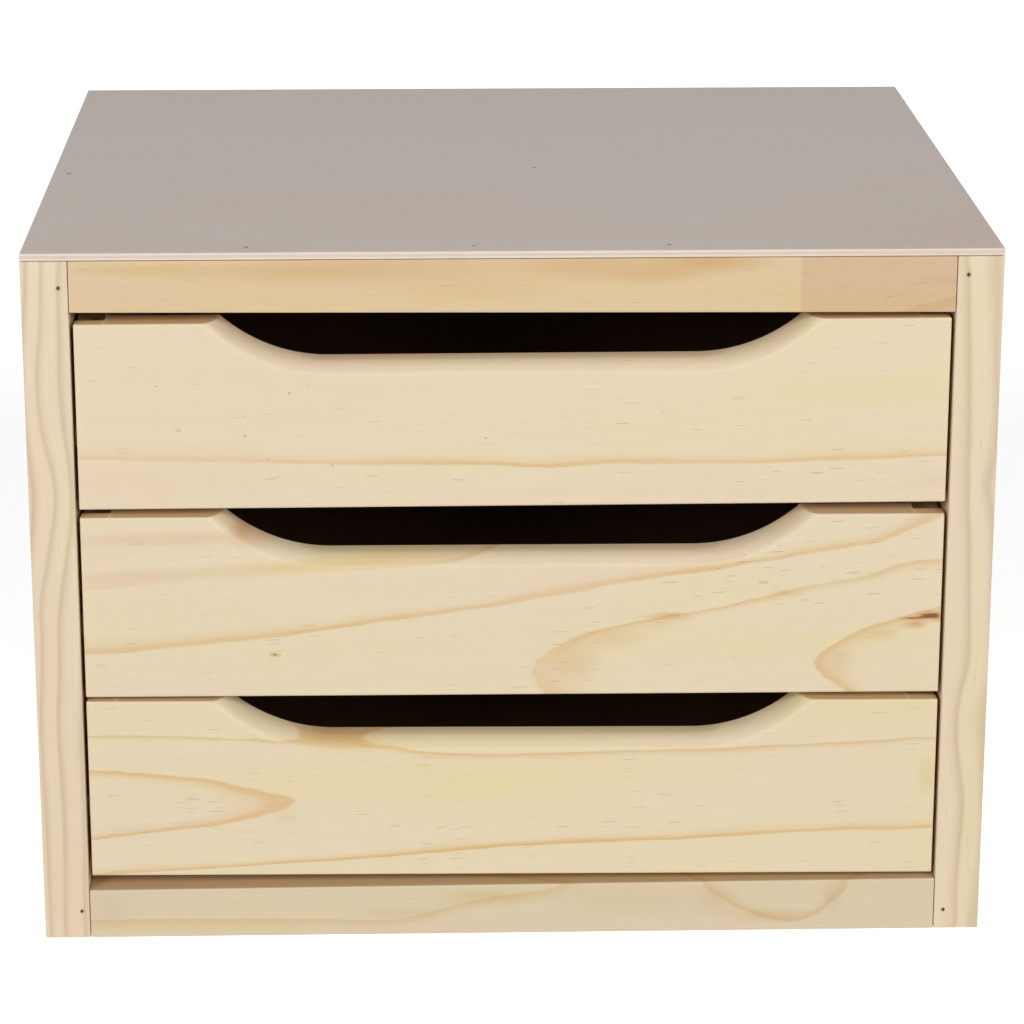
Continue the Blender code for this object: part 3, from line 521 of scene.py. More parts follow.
def board_surface(low, high, spacings, easing, extras=((), (), ())):
    """A board with eased edges, as one grid on each face of its box.

    A point p of the box goes to q + r (p - q) / |p - q|, where r is the easing and q is p held inside the
    box made smaller by r. That leaves the faces flat and rounds the edges and corners.
    """
    low, high = np.array(low, float), np.array(high, float)
    lines = [grid_lines(low[axis], high[axis], spacings[axis], easing, extras[axis]) for axis in range(3)]
    points, faces, start = [], [], 0
    for axis in range(3):
        second, third = (axis + 1) % 3, (axis + 2) % 3
        across, up = np.meshgrid(lines[second], lines[third], indexing="ij")
        quads = grid_quads(*across.shape)
        for level, outward in ((low[axis], -1), (high[axis], 1)):
            sheet = np.empty((across.size, 3))
            sheet[:, axis], sheet[:, second], sheet[:, third] = level, across.ravel(), up.ravel()
            points.append(sheet)
            faces.append((quads if outward > 0 else quads[:, ::-1]) + start)
            start += len(sheet)
    points, faces = merged(np.concatenate(points), np.concatenate(faces))
    inner = np.clip(points, low + easing, high - easing)
    reach = points - inner
    return inner + easing * reach / np.linalg.norm(reach, axis=1, keepdims=True), faces


def smooth_step(low, high, values):
    """0 below low, 1 above high, and 3t² - 2t³ between them."""
    share = np.clip((values - low) / (high - low), 0, 1)
    return share * share * (3 - 2 * share)


def pit_lines(centres, radius):
    """Extra grid lines close round each centre, so that a pit there is round."""
    return np.add.outer(np.asarray(centres, float), radius * np.array(PIT_LINE_SHARES))


def press_pits(points, centres, inward, radius, depth):
    """Presses a round pit into a face at each centre: points of the face move inward by the depth, less
    towards the rim by a smooth step of their distance from the centre."""
    inward = np.array(inward, float)
    flat, rim = (radius * share for share in PIT_WALL_SHARES)
    for centre in np.atleast_2d(centres):
        offset = points - centre
        below = offset @ inward
        away = np.linalg.norm(offset - below[:, None] * inward, axis=1)
        share = (1 - smooth_step(flat, rim, away)) * (np.abs(below) < FACE_REACH)
        points = points + inward * (depth * share)[:, None]
    return points


def bent_plate(marks, x, z, stretch=2.5):
    """The height, at each x and z, of a thin plate bent through the marks (x, z, height).

    It is a plane plus a weight times r² log r from each mark, with the weights solved so that the plate
    passes by every mark, off it only by its softness times the mark's weight. Distances along x are shortened
    by the stretch, as grain is drawn out.
    """
    marks = np.array(marks, float)
    scale = np.array([1 / stretch, 1.0]) / PLATE_UNIT
    known = marks[:, :2] * scale
    wanted = np.column_stack([x, z]) * scale

    def bend(a, b):
        squared = ((a[:, None, :] - b[None, :, :]) ** 2).sum(axis=2)
        return squared * np.log(squared + 1e-12)

    count = len(marks)
    plane = np.column_stack([np.ones(count), known])
    inner = bend(known, known) + PLATE_SOFTNESS * np.eye(count)
    system = np.block([[inner, plane], [plane.T, np.zeros((3, 3))]])
    weights = np.linalg.solve(system, np.concatenate([marks[:, 2], np.zeros(3)]))
    return bend(wanted, known) @ weights[:count] + weights[count] + wanted @ weights[count + 1 :]


def zone_fields(base, zones, x, z):
    """Contrast, warmth, dashes, specks and pitch at each point: the base plus each zone's amount times a
    bell, exp(-dx² - dz²), with distances in shares of the zone's reach."""
    fields = np.repeat(np.array(base, float)[None, :], len(x), axis=0)
    for zone in zones:
        bell = np.exp(-(((x - zone[0]) / zone[2]) ** 2) - ((z - zone[1]) / zone[3]) ** 2)
        fields += bell[:, None] * np.array(zone[4:], float)
    return fields


def add_piece(
    name, surface, figure, flaws, material, replaced, seed, axes=(0, 2, 1), lean=0.0, tint=(1, 1, 1),
    upward_shade=(1, 1, 1), sanded=0.0, ends=(1, 1, 1),
):
    """Makes a piece from a surface (points, faces, caps), hands it its grain and lets it ride on a body.

    Four attributes carry the grain. "grain" is each point's place along, across and through the wood,
    shifted by the seed so that no two boards share a pattern. "figure" and "flaws" are the material's own.
    "tint" is what the wood's colour is multiplied by: the board's own tint, times the painted shade for faces
    that look up by a smooth step of how far the point's normal faces up, except on the arris next to the
    front face. Points of a rounding get painted light where the normal is halfway up, which makes them paler,
    and end grain gets the ends' tint.
    The faces are turned outwards: their signed volume, a third of each corner triple's product, is positive.
    """
    points, faces, caps = surface
    fan = [np.column_stack([np.full(len(cap) - 2, cap[0]), cap[1:-1], cap[2:]]) for cap in caps]
    corners = np.concatenate([faces[:, :3], faces[:, [0, 2, 3]], *fan])
    if np.einsum("ij,ij->", points[corners[:, 0]], np.cross(*np.moveaxis(points[corners[:, 1:]], 1, 0))) < 0:
        faces, caps = faces[:, ::-1], [cap[::-1] for cap in caps]
    order = np.concatenate([faces.ravel(), *caps]).astype(np.int32)
    sizes = np.array([4] * len(faces) + [len(cap) for cap in caps], np.int32)
    mesh = bpy.data.meshes.new(name)
    mesh.vertices.add(len(points))
    mesh.vertices.foreach_set("co", points.astype(np.float32).ravel())
    mesh.loops.add(len(order))
    mesh.loops.foreach_set("vertex_index", order)
    mesh.polygons.add(len(sizes))
    mesh.polygons.foreach_set("loop_start", np.cumsum(sizes, dtype=np.int32) - sizes)
    mesh.update(calc_edges=True)
    if mesh.validate(verbose=True):
        raise RuntimeError(f"{name} has faces that can't be")
    grain = points[:, list(axes)] + np.array(SEED_SHIFT) * seed
    grain[:, 1] -= lean * points[:, axes[0]]
    normals = np.empty(len(points) * 3, np.float32)
    mesh.vertex_normals.foreach_get("vector", normals)
    normals = normals.reshape(-1, 3)
    # Painted shade: points whose normal faces up are multiplied by the browner tint given for them
    rise = smooth_step(*UPWARD_SHARES, normals[:, 2:])
    # Painted light: points of a rounding whose normal is halfway up are made paler
    halfway = smooth_step(*HALFWAY_SHARES, normals[:, 2:]) * (1 - rise)
    rise[points[:, 1] < points[:, 1].min() + FRONT_ARRIS] = 0
    end_grain = smooth_step(*END_SHARES, np.abs(normals[:, axes[0], None]))
    tints = np.array(tint, float) * (1 + rise * (np.array(upward_shade) - 1)) * (1 + sanded * halfway)
    tints = tints * (1 + end_grain * (np.array(ends) - 1))
    for label, vectors in zip(WOOD_LABELS, (grain, figure, flaws, tints)):
        attribute = mesh.attributes.new(label, "FLOAT_VECTOR", "POINT")
        attribute.data.foreach_set("vector", vectors.astype(np.float32).ravel())
    mesh.materials.append(material)
    mesh.shade_smooth()
    mesh.set_sharp_from_angle(angle=math.radians(SHARP_ANGLE))
    piece = bpy.data.objects.new(name, mesh)
    bpy.context.scene.collection.objects.link(piece)
    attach(piece, BODY_OF[replaced[0]] if replaced else BODY_OF["back_panel"])
    if replaced:
        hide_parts(*replaced)
    return piece


def add_node(tree, kind, inputs=None, output=0, stops=(), **settings):
    """Adds a node and returns one of its outputs, or all of them. Each input is a value or a link from an
    output, settings are the node's own, and stops are a ramp's places and greys."""
    node = tree.nodes.new(kind)
    for setting, value in settings.items():
        setattr(node, setting, value)
    for key, value in (inputs or {}).items():
        if isinstance(value, bpy.types.NodeSocket):
            tree.links.new(value, node.inputs[key])
        else:
            node.inputs[key].default_value = value
    for _ in stops[2:]:
        node.color_ramp.elements.new(0.5)
    for number, (place, grey) in enumerate(stops):
        node.color_ramp.elements[number].position = place
        node.color_ramp.elements[number].color = (grey, grey, grey, 1)
    return node.outputs if output is None else node.outputs[output]


def start_material(name, *labels):
    """A new material, its node tree, its Principled BSDF, and the piece's attributes with those labels."""
    material = bpy.data.materials.new(name)
    material.use_nodes = True
    tree = material.node_tree
    attributes = [
        add_node(tree, "ShaderNodeAttribute", output=1, attribute_name=label) for label in labels
    ]
    return material, tree, tree.nodes["Principled BSDF"], attributes


def planed_pine(name, summer_colour=None, seasons=SEASON):
    """Bare radiata pine, planed and smoothed with sandpaper: cream spring wood that darkens smoothly into a
    tan edge at the end of each year, fine fibre streaks, resin ducts cut open as short grey-brown dashes, and
    a satin surface with no lacquer. Its "figure" is ring number, ring contrast and warmth, and its "flaws"
    are dashes, specks and pitch."""
    palette = bpy.context.scene.chest_colours
    material, tree, shader, (grain, figure, flaws, tint) = start_material(name, *WOOD_LABELS)
    ring, contrast, warmth = add_node(tree, PARTS, {0: figure}, None)
    dashes, specks, pitch = add_node(tree, PARTS, {0: flaws}, None)

    # Fibres 0.6 mm wide and 30 mm long, clouds 20 mm wide and 200 mm long, and a waver of the ring edges
    place = add_node(tree, PLACING, {"Vector": grain, "Scale": (33, 1600, 1600)})
    fibres = add_node(tree, NOISE, {"Vector": place, "Scale": 1.0, "Detail": 3.0, "Roughness": 0.6})
    place = add_node(tree, PLACING, {"Vector": grain, "Scale": (5, 50, 50)})
    clouds = add_node(tree, NOISE, {"Vector": place, "Scale": 1.0, "Detail": 2.0})
    place = add_node(tree, PLACING, {"Vector": grain, "Scale": (60, 350, 350)})
    waver = add_node(tree, NOISE, {"Vector": place, "Scale": 1.0, "Detail": 4.0, "Roughness": 0.6})

    # The year's darkening: slow over its last fifth, then a sharp end
    waver = add_node(tree, MATHS, {0: waver, 1: 0.05, 2: -0.025}, operation="MULTIPLY_ADD")
    age = add_node(tree, MATHS, {0: ring, 1: waver}, operation="ADD")
    season = add_node(tree, MATHS, {0: age}, operation="FRACT")
    year = add_node(tree, MATHS, {0: age}, operation="FLOOR")
    summer = add_node(tree, RAMP, {0: season}, stops=seasons)
    chance = add_node(tree, "ShaderNodeTexWhiteNoise", {"W": year}, noise_dimensions="1D")
    chance = add_node(tree, MATHS, {0: chance, 1: 0.25, 2: 0.85}, operation="MULTIPLY_ADD")
    hold = add_node(tree, MATHS, {0: fibres, 1: 0.9, 2: 0.55}, operation="MULTIPLY_ADD")
    late = add_node(tree, MATHS, {0: summer, 1: contrast}, operation="MULTIPLY")
    late = add_node(tree, MATHS, {0: late, 1: chance}, operation="MULTIPLY")
    late = add_node(tree, MATHS, {0: late, 1: hold}, operation="MULTIPLY", use_clamp=True)

    # Warmth and clouds move the spring wood between yellow, cream and pink
    drift = add_node(tree, MATHS, {0: clouds, 1: 4.0, 2: -2.0}, operation="MULTIPLY_ADD")
    drift = add_node(tree, MATHS, {0: drift, 1: warmth}, operation="ADD")
    pinker = add_node(tree, SPAN, {"Value": drift, "From Min": 0.0, "From Max": 2.4})
    yellower = add_node(tree, SPAN, {"Value": drift, "From Min": 0.0, "From Max": -2.4})
    pink, summer_wood = (*palette.pink_wood, 1), (*(summer_colour or palette.summer_wood), 1)
    wood = add_node(tree, MIX, {0: pinker, 6: (*palette.spring_wood, 1), 7: pink}, 2, data_type="RGBA")
    wood = add_node(tree, MIX, {0: yellower, 6: wood, 7: (*palette.yellow_wood, 1)}, 2, data_type="RGBA")
    wood = add_node(tree, MIX, {0: late, 6: wood, 7: summer_wood}, 2, data_type="RGBA")
    limits = {"From Min": 0.3, "From Max": 0.7, "To Min": 0.98, "To Max": 1.015}
    shade = add_node(tree, SPAN, {"Value": fibres, **limits})
    wood = add_node(tree, MIX, {0: 1.0, 6: wood, 7: shade}, 2, data_type="RGBA", blend_type="MULTIPLY")

    # Resin ducts: dashes 3 to 8 mm long and 0.2 to 0.5 mm wide, in a share of the cells of 15 by 0.9 mm.
    # The cell's own chances give each dash its size and how dark it is, and they are darker where they crowd.
    place = add_node(tree, PLACING, {"Vector": grain, "Scale": (68, 1100, 1100)})
    cells = add_node(tree, CELLS, {"Vector": place, "Scale": 1.0}, None)
    first, second, third = add_node(tree, PARTS, {0: cells[1]}, None)
    kept = add_node(tree, MATHS, {0: dashes, 1: 0.7}, operation="MULTIPLY")
    kept = add_node(tree, MATHS, {0: first, 1: kept}, operation="LESS_THAN")
    reach = add_node(tree, MATHS, {0: second, 1: 0.16, 2: 0.11}, operation="MULTIPLY_ADD")
    heart = add_node(tree, MATHS, {0: reach, 1: 0.085}, operation="SUBTRACT")
    dash = add_node(tree, SPAN, {"Value": cells[0], "From Min": reach, "From Max": heart})
    dash = add_node(tree, MATHS, {0: dash, 1: kept}, operation="MULTIPLY")
    depth = add_node(tree, MATHS, {0: third, 1: 0.22, 2: 0.08}, operation="MULTIPLY_ADD")
    crowd = add_node(tree, MATHS, {0: dashes, 1: 0.9, 2: 0.7}, operation="MULTIPLY_ADD")
    depth = add_node(tree, MATHS, {0: depth, 1: crowd}, operation="MULTIPLY")
    faint = add_node(tree, MATHS, {0: dash, 1: depth}, operation="MULTIPLY", use_clamp=True)
    wood = add_node(tree, MIX, {0: faint, 6: wood, 7: (*palette.resin, 1)}, 2, data_type="RGBA")

    # Specks of resin 0.5 to 1 mm across, in a share of the cells of 9 by 6 mm
    place = add_node(tree, PLACING, {"Vector": grain, "Scale": (110, 165, 165)})
    cells = add_node(tree, CELLS, {"Vector": place, "Scale": 1.0}, None)
    first, second, third = add_node(tree, PARTS, {0: cells[1]}, None)
    kept = add_node(tree, MATHS, {0: specks, 1: 0.30}, operation="MULTIPLY")
    kept = add_node(tree, MATHS, {0: first, 1: kept}, operation="LESS_THAN")
    reach = add_node(tree, MATHS, {0: second, 1: 0.045, 2: 0.055}, operation="MULTIPLY_ADD")
    heart = add_node(tree, MATHS, {0: reach, 1: 0.04}, operation="SUBTRACT")
    speck = add_node(tree, SPAN, {"Value": cells[0], "From Min": reach, "From Max": heart})
    speck = add_node(tree, MATHS, {0: speck, 1: kept}, operation="MULTIPLY")
    depth = add_node(tree, MATHS, {0: third, 1: 0.35, 2: 0.15}, operation="MULTIPLY_ADD")
    faint = add_node(tree, MATHS, {0: speck, 1: depth}, operation="MULTIPLY")
    wood = add_node(tree, MIX, {0: faint, 6: wood, 7: (*palette.resin, 1)}, 2, data_type="RGBA")

    # Pitch: an amber halo and a ragged dark heart
    ragged = add_node(tree, MATHS, {0: waver, 1: 8.0}, operation="MULTIPLY")
    ragged = add_node(tree, MATHS, {0: fibres, 1: 1.2, 2: ragged}, operation="MULTIPLY_ADD")
    ragged = add_node(tree, MATHS, {0: ragged, 1: -0.6}, operation="ADD")
    ragged = add_node(tree, MATHS, {0: pitch, 1: ragged}, operation="ADD")
    halo = add_node(tree, SPAN, {"Value": pitch, "From Min": 0.15, "From Max": 0.9, "To Max": 0.75})
    heart = add_node(tree, SPAN, {"Value": ragged, "From Min": 0.8, "From Max": 1.05, "To Max": 0.85})
    wood = add_node(tree, MIX, {0: halo, 6: wood, 7: (*palette.amber, 1)}, 2, data_type="RGBA")
    wood = add_node(tree, MIX, {0: heart, 6: wood, 7: (*palette.pitch, 1)}, 2, data_type="RGBA")
    wood = add_node(tree, MIX, {0: 1.0, 6: wood, 7: tint}, 2, data_type="RGBA", blend_type="MULTIPLY")
    tree.links.new(wood, shader.inputs["Base Color"])

    # Planed surface: fibres stand a few hundredths of a millimetre, summer wood is harder and smoother
    rough = add_node(tree, MATHS, {0: fibres, 1: 0.16, 2: 0.50}, operation="MULTIPLY_ADD")
    rough = add_node(tree, MATHS, {0: late, 1: -0.12, 2: rough}, operation="MULTIPLY_ADD")
    tree.links.new(rough, shader.inputs["Roughness"])
    height = add_node(tree, MATHS, {0: late, 1: 0.6, 2: fibres}, operation="MULTIPLY_ADD")
    height = add_node(tree, MATHS, {0: dash, 1: -0.5, 2: height}, operation="MULTIPLY_ADD")
    bump = add_node(tree, BUMP, {"Height": height, "Strength": 0.12, "Distance": 0.0002})
    tree.links.new(bump, shader.inputs["Normal"])
    return material


def sanded_plywood(name):
    """Three-ply sheet: pale, fine-pored face veneers with a hardly visible figure, and a middle layer that
    shows at the edges as a darker line of end grain between two thin glue lines. Its "figure" is the place
    through the sheet from 0 to 1, and its "flaws" are pores and brownness."""
    palette = bpy.context.scene.chest_colours
    material, tree, shader, (grain, figure, flaws, tint) = start_material(name, *WOOD_LABELS)
    layer, _, _ = add_node(tree, PARTS, {0: figure}, None)
    pores, brownness, _ = add_node(tree, PARTS, {0: flaws}, None)

    # Face fibres 0.5 mm wide and 15 mm long, broad clouds, and the core's fibres that run the other way
    place = add_node(tree, PLACING, {"Vector": grain, "Scale": (66, 2000, 2000)})
    fibres = add_node(tree, NOISE, {"Vector": place, "Scale": 1.0, "Detail": 3.0, "Roughness": 0.6})
    place = add_node(tree, PLACING, {"Vector": grain, "Scale": (7, 30, 30)})
    clouds = add_node(tree, NOISE, {"Vector": place, "Scale": 1.0, "Detail": 3.0})
    place = add_node(tree, PLACING, {"Vector": grain, "Scale": (2000, 66, 2000)})
    crossed = add_node(tree, NOISE, {"Vector": place, "Scale": 1.0, "Detail": 2.0})

    core = add_node(tree, RAMP, {0: layer}, stops=CORE_LAYER)
    glue = add_node(tree, RAMP, {0: layer}, stops=GLUE_LINES)
    end_grain = add_node(tree, MATHS, {0: crossed, 1: 0.9, 2: 0.45}, operation="MULTIPLY_ADD")
    core = add_node(tree, MATHS, {0: core, 1: end_grain}, operation="MULTIPLY", use_clamp=True)
    brown = add_node(tree, MATHS, {0: clouds, 1: 0.7, 2: -0.28}, operation="MULTIPLY_ADD")
    brown = add_node(tree, MATHS, {0: brown, 1: brownness}, operation="ADD", use_clamp=True)
    brown = add_node(tree, MATHS, {0: brown, 1: 0.5}, operation="MULTIPLY")
    veneer, middle = (*palette.veneer, 1), (*palette.core, 1)
    wood = add_node(tree, MIX, {0: brown, 6: veneer, 7: (*palette.pink_wood, 1)}, 2, data_type="RGBA")
    wood = add_node(tree, MIX, {0: core, 6: wood, 7: middle}, 2, data_type="RGBA")
    wood = add_node(tree, MIX, {0: glue, 6: wood, 7: (*palette.resin, 1)}, 2, data_type="RGBA")
    limits = {"From Min": 0.3, "From Max": 0.7, "To Min": 0.965, "To Max": 1.02}
    shade = add_node(tree, SPAN, {"Value": fibres, **limits})
    wood = add_node(tree, MIX, {0: 1.0, 6: wood, 7: shade}, 2, data_type="RGBA", blend_type="MULTIPLY")

    # Pores: hair lines 2 mm long and 0.2 mm wide
    place = add_node(tree, PLACING, {"Vector": grain, "Scale": (125, 1250, 1250)})
    cells = add_node(tree, CELLS, {"Vector": place, "Scale": 1.0}, None)
    chance = add_node(tree, PARTS, {0: cells[1]})
    kept = add_node(tree, MATHS, {0: chance, 1: pores}, operation="LESS_THAN")
    pore = add_node(tree, SPAN, {"Value": cells[0], "From Min": 0.19, "From Max": 0.12})
    pore = add_node(tree, MATHS, {0: pore, 1: kept}, operation="MULTIPLY")
    faint = add_node(tree, MATHS, {0: pore, 1: 0.22}, operation="MULTIPLY")
    wood = add_node(tree, MIX, {0: faint, 6: wood, 7: (*palette.resin, 1)}, 2, data_type="RGBA")
    wood = add_node(tree, MIX, {0: 1.0, 6: wood, 7: tint}, 2, data_type="RGBA", blend_type="MULTIPLY")
    tree.links.new(wood, shader.inputs["Base Color"])

    rough = add_node(tree, MATHS, {0: fibres, 1: 0.14, 2: 0.53}, operation="MULTIPLY_ADD")
    tree.links.new(rough, shader.inputs["Roughness"])
    height = add_node(tree, MATHS, {0: pore, 1: -0.8, 2: fibres}, operation="MULTIPLY_ADD")
    bump = add_node(tree, BUMP, {"Height": height, "Strength": 0.2, "Distance": 0.00015})
    tree.links.new(bump, shader.inputs["Normal"])
    return material


def tempered_hardboard(name):
    """Hardboard, pressed from wood fibre and tempered with oil: a smooth dark-brown face, faintly mottled,
    with a low sheen. Its short fibres lie every way, so it has no grain."""
    palette = bpy.context.scene.chest_colours
    material, tree, shader, (grain,) = start_material(name, "grain")
    fibres = add_node(tree, NOISE, {"Vector": grain, "Scale": 900.0, "Detail": 4.0, "Roughness": 0.7})
    clouds = add_node(tree, NOISE, {"Vector": grain, "Scale": 60.0, "Detail": 3.0})
    mottle = add_node(tree, MATHS, {0: fibres, 1: clouds}, operation="ADD")
    limits = {"From Min": 0.7, "From Max": 1.3, "To Min": 0.8, "To Max": 1.15}
    shade = add_node(tree, SPAN, {"Value": mottle, **limits})
    board = (*palette.hardboard, 1)
    board = add_node(tree, MIX, {0: 1.0, 6: board, 7: shade}, 2, data_type="RGBA", blend_type="MULTIPLY")
    tree.links.new(board, shader.inputs["Base Color"])
    rough = add_node(tree, MATHS, {0: clouds, 1: 0.2, 2: 0.32}, operation="MULTIPLY_ADD")
    tree.links.new(rough, shader.inputs["Roughness"])
    bump = add_node(tree, BUMP, {"Height": fibres, "Strength": 0.15, "Distance": 0.0001})
    tree.links.new(bump, shader.inputs["Normal"])
    return material


def dull_drawn_wire(name):
    """Low-carbon steel wire, gone dull: brown-grey metal with darker patches of early rust."""
    palette = bpy.context.scene.chest_colours
    material, tree, shader, _ = start_material(name)
    place = add_node(tree, "ShaderNodeTexCoord", output="Object")
    patches = add_node(tree, NOISE, {"Vector": place, "Scale": 1800.0, "Detail": 3.0})
    rust = add_node(tree, SPAN, {"Value": patches, "From Min": 0.45, "From Max": 0.75})
    wire, brown = (*palette.wire, 1), (*palette.pitch, 1)
    coat = add_node(tree, MIX, {0: rust, 6: wire, 7: brown}, 2, data_type="RGBA")
    tree.links.new(coat, shader.inputs["Base Color"])
    rough = add_node(tree, MATHS, {0: patches, 1: 0.3, 2: 0.35}, operation="MULTIPLY_ADD")
    tree.links.new(rough, shader.inputs["Roughness"])
    shader.inputs["Metallic"].default_value = 1.0
    bump = add_node(tree, BUMP, {"Height": patches, "Strength": 0.3, "Distance": 0.0001})
    tree.links.new(bump, shader.inputs["Normal"])
    return material


def finish(name, make, *arguments):
    """The material of that name, made by its function the first time that a piece asks for it."""
    return bpy.data.materials.get(name) or make(name, *arguments)


def pine_fields(points, axes, pith, lean, base):
    """Figure and flaws of an unseen pine board, as it is sawn from a log.

    The ring number is the distance from the pith, a line that leans as it runs along the board, over the
    ring's width. Flat faces then show pointed arches, and ends show arcs. A slow and a quick sine along the
    board let the rings sway.
    """
    along, across, through = (points[:, axis] for axis in axes)
    sway = 0.004 * np.sin(along / 0.062 + 900 * pith[0]) + 0.002 * np.sin(along / 0.021 + 40 * across)
    distance = np.hypot(across - pith[0] - sway, through - pith[1] - lean * along)
    amounts = np.tile(np.array(base, float), (len(points), 1))
    ring = distance / bpy.context.scene.chest_sizes.ring_width
    return np.column_stack([ring, amounts[:, :2]]), amounts[:, 2:]


def seen_fields(points, figure):
    """Figure and flaws of a board whose face the rings were read from: the bent plate over its face, with
    the rings leaning evenly through its depth."""
    x, y, z = ((points - np.array(cad_box[0])) / MM).T
    ring = bent_plate(figure["rings"], x, z) + figure["through"] * y
    amounts = zone_fields(figure["base"], figure["zones"], x, z)
    return np.column_stack([ring, amounts[:, :2]]), amounts[:, 2:]


def panel_fields(points, hand):
    """Figure and flaws of a side panel, glued up from upright staves.

    In the front stave the bent plate over its front edge gives the rings. Behind that edge the ring number
    grows by 0.35 times the distance in stave widths and by 1.5 times its square, and a sine that fades in
    sways the rings. Each other stave is sawn from its own log: the distance from its pith, which leans away
    from the stave as it rises and sways by 4 mm, over the ring's width. The right panel is a little yellower
    past its ring.
    """
    sizes = bpy.context.scene.chest_sizes
    x, y, z = ((points - np.array(cad_box[0])) / MM).T
    width, _, height = (np.array(cad_box[1]) - np.array(cad_box[0])) / MM
    marks = np.array(STILE_FIGURES[hand])[:, [1, 0, 2]]
    stave_width, ring_width = sizes.stave_width / MM, sizes.ring_width / MM
    back = y / stave_width
    sway = 0.12 * np.sin(z / 47) * np.clip(4 * back, 0, 1)
    ring = bent_plate(marks, z, x) + 0.35 * back + 1.5 * back**2 + sway
    warmth = 0.5 + 0.35 * np.sin(z / 90 + x / 5)
    outward, turned = (x, 1) if hand == "left" else (width - x, -1)
    level = z if turned > 0 else height - z
    stave = np.clip(np.floor(back), 0, len(STAVES)).astype(int)
    for number, (middle, behind, leaning, warm) in enumerate(STAVES, start=1):
        away = y - (number + middle) * stave_width - 4 * np.sin(level / 55 + number)
        distance = np.hypot(away, outward + behind + leaning * level)
        ring = np.where(stave == number, distance / ring_width + number, ring)
        warmth = np.where(stave == number, 0.3 + 0.8 * warm * turned, warmth)
    if hand == "right":
        warmth = warmth - YELLOW_AMOUNT * smooth_step(YELLOW_FROM_X, YELLOW_TO_X, x) * (stave == 0)
    contrast = np.full(len(points), PANEL_CONTRAST)
    return np.column_stack([ring, contrast, warmth]), np.tile(PANEL_FLAWS, (len(points), 1))


def sheet_fields(points, axis, low, high, brownness=None):
    """Figure and flaws of a plywood sheet: the place through it from 0 at one face to 1 at the other."""
    layer = (points[:, axis] - low) / (high - low)
    nothing = np.zeros(len(points))
    brown = nothing if brownness is None else brownness
    flaws = np.column_stack([nothing + SHEET_PORES, brown, nothing])
    return np.column_stack([layer, nothing, nothing]), flaws


def box_of(node):
    """A node's lowest and highest corners as arrays."""
    low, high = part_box(node)
    return np.array(low), np.array(high)


def head_places(nodes, face_axis, face):
    """Where brads meet a face: the mean of the points of each brad that lie nearest the face, moved straight
    on to it."""
    places = []
    for node in nodes:
        mesh = frame["nodes"][node].data
        points = np.empty(len(mesh.vertices) * 3, np.float32)
        mesh.vertices.foreach_get("co", points)
        points = points.reshape(-1, 3)
        nearest = np.argsort(np.abs(points[:, face_axis] - face))[:HEAD_POINTS]
        near = points[nearest].mean(axis=0)
        near[face_axis] = face
        places.append(near)
    return np.array(places)


def outline(corners, easings, spacing, extra=()):
    """A closed outline through corners. Each corner is rounded by an arc of its easing, tangent to its two
    edges, and the edges between hold points at an even spacing, and extra ones at given heights."""
    corners, points = np.array(corners, float), []
    count = len(corners)
    for number in range(count):
        here, before, after = corners[number], corners[number - 1], corners[(number + 1) % count]
        back = (before - here) / np.linalg.norm(before - here)
        ahead = (after - here) / np.linalg.norm(after - here)
        easing = easings[number]
        if easing:
            centre = here + easing * (back + ahead)
            turn = np.linspace(0, math.pi / 2, CORNER_POINTS)[:, None]
            points.append(centre - easing * (ahead * np.cos(turn) + back * np.sin(turn)))
        else:
            points.append(here[None, :])
        start = here + easing * ahead
        stop = after - easings[(number + 1) % count] * ahead
        reach = np.linalg.norm(stop - start)
        shares = np.linspace(0, 1, max(int(reach / spacing), 1) + 1)[1:-1]
        if abs(ahead[1]) > 0.5:
            shares = np.concatenate([shares, (np.asarray(extra) - start[1]) / (stop[1] - start[1])])
            shares = np.unique(np.round(shares[(shares > 0.001) & (shares < 0.999)], 5))
        points.append(start + shares[:, None] * (stop - start))
    return np.concatenate(points)


def swept(section, lines):
    """A section of (x, z) points carried along y through the lines, closed by a flat cap at each end."""
    rows, columns = len(lines), len(section)
    points = np.empty((rows, columns, 3))
    points[:, :, 0], points[:, :, 1], points[:, :, 2] = section[:, 0], lines[:, None], section[:, 1]
    first, last = np.arange(columns), np.arange(columns) + (rows - 1) * columns
    return points.reshape(-1, 3), ring_quads(rows, columns), [first[::-1], last]


def scoop_growth(depth):
    """How far the scoop's edge has moved out at a depth behind the face: a quarter of an ellipse."""
    reach = np.clip(1 - depth / SCOOP_ROUND_DEPTH, 0, 1)
    return SCOOP_ROUND_WIDTH * (1 - np.sqrt(1 - reach**2))


def scoop_floor(x, depth, height):
    """The scoop's height at x and depth: flat in the middle and a circle's arc towards each end, whose
    radius grows as the edge moves out. Past the arcs it is the front's own height."""
    growth = scoop_growth(depth)
    arc_x = np.maximum(np.abs(x) - SCOOP_ARC_X, 0)
    square = (SCOOP_END_RADIUS + growth) ** 2 - arc_x**2
    floor = height - SCOOP_DEPTH + SCOOP_END_RADIUS - np.sqrt(np.maximum(square, 0))
    return np.where(square > 0, np.minimum(floor, height), height)


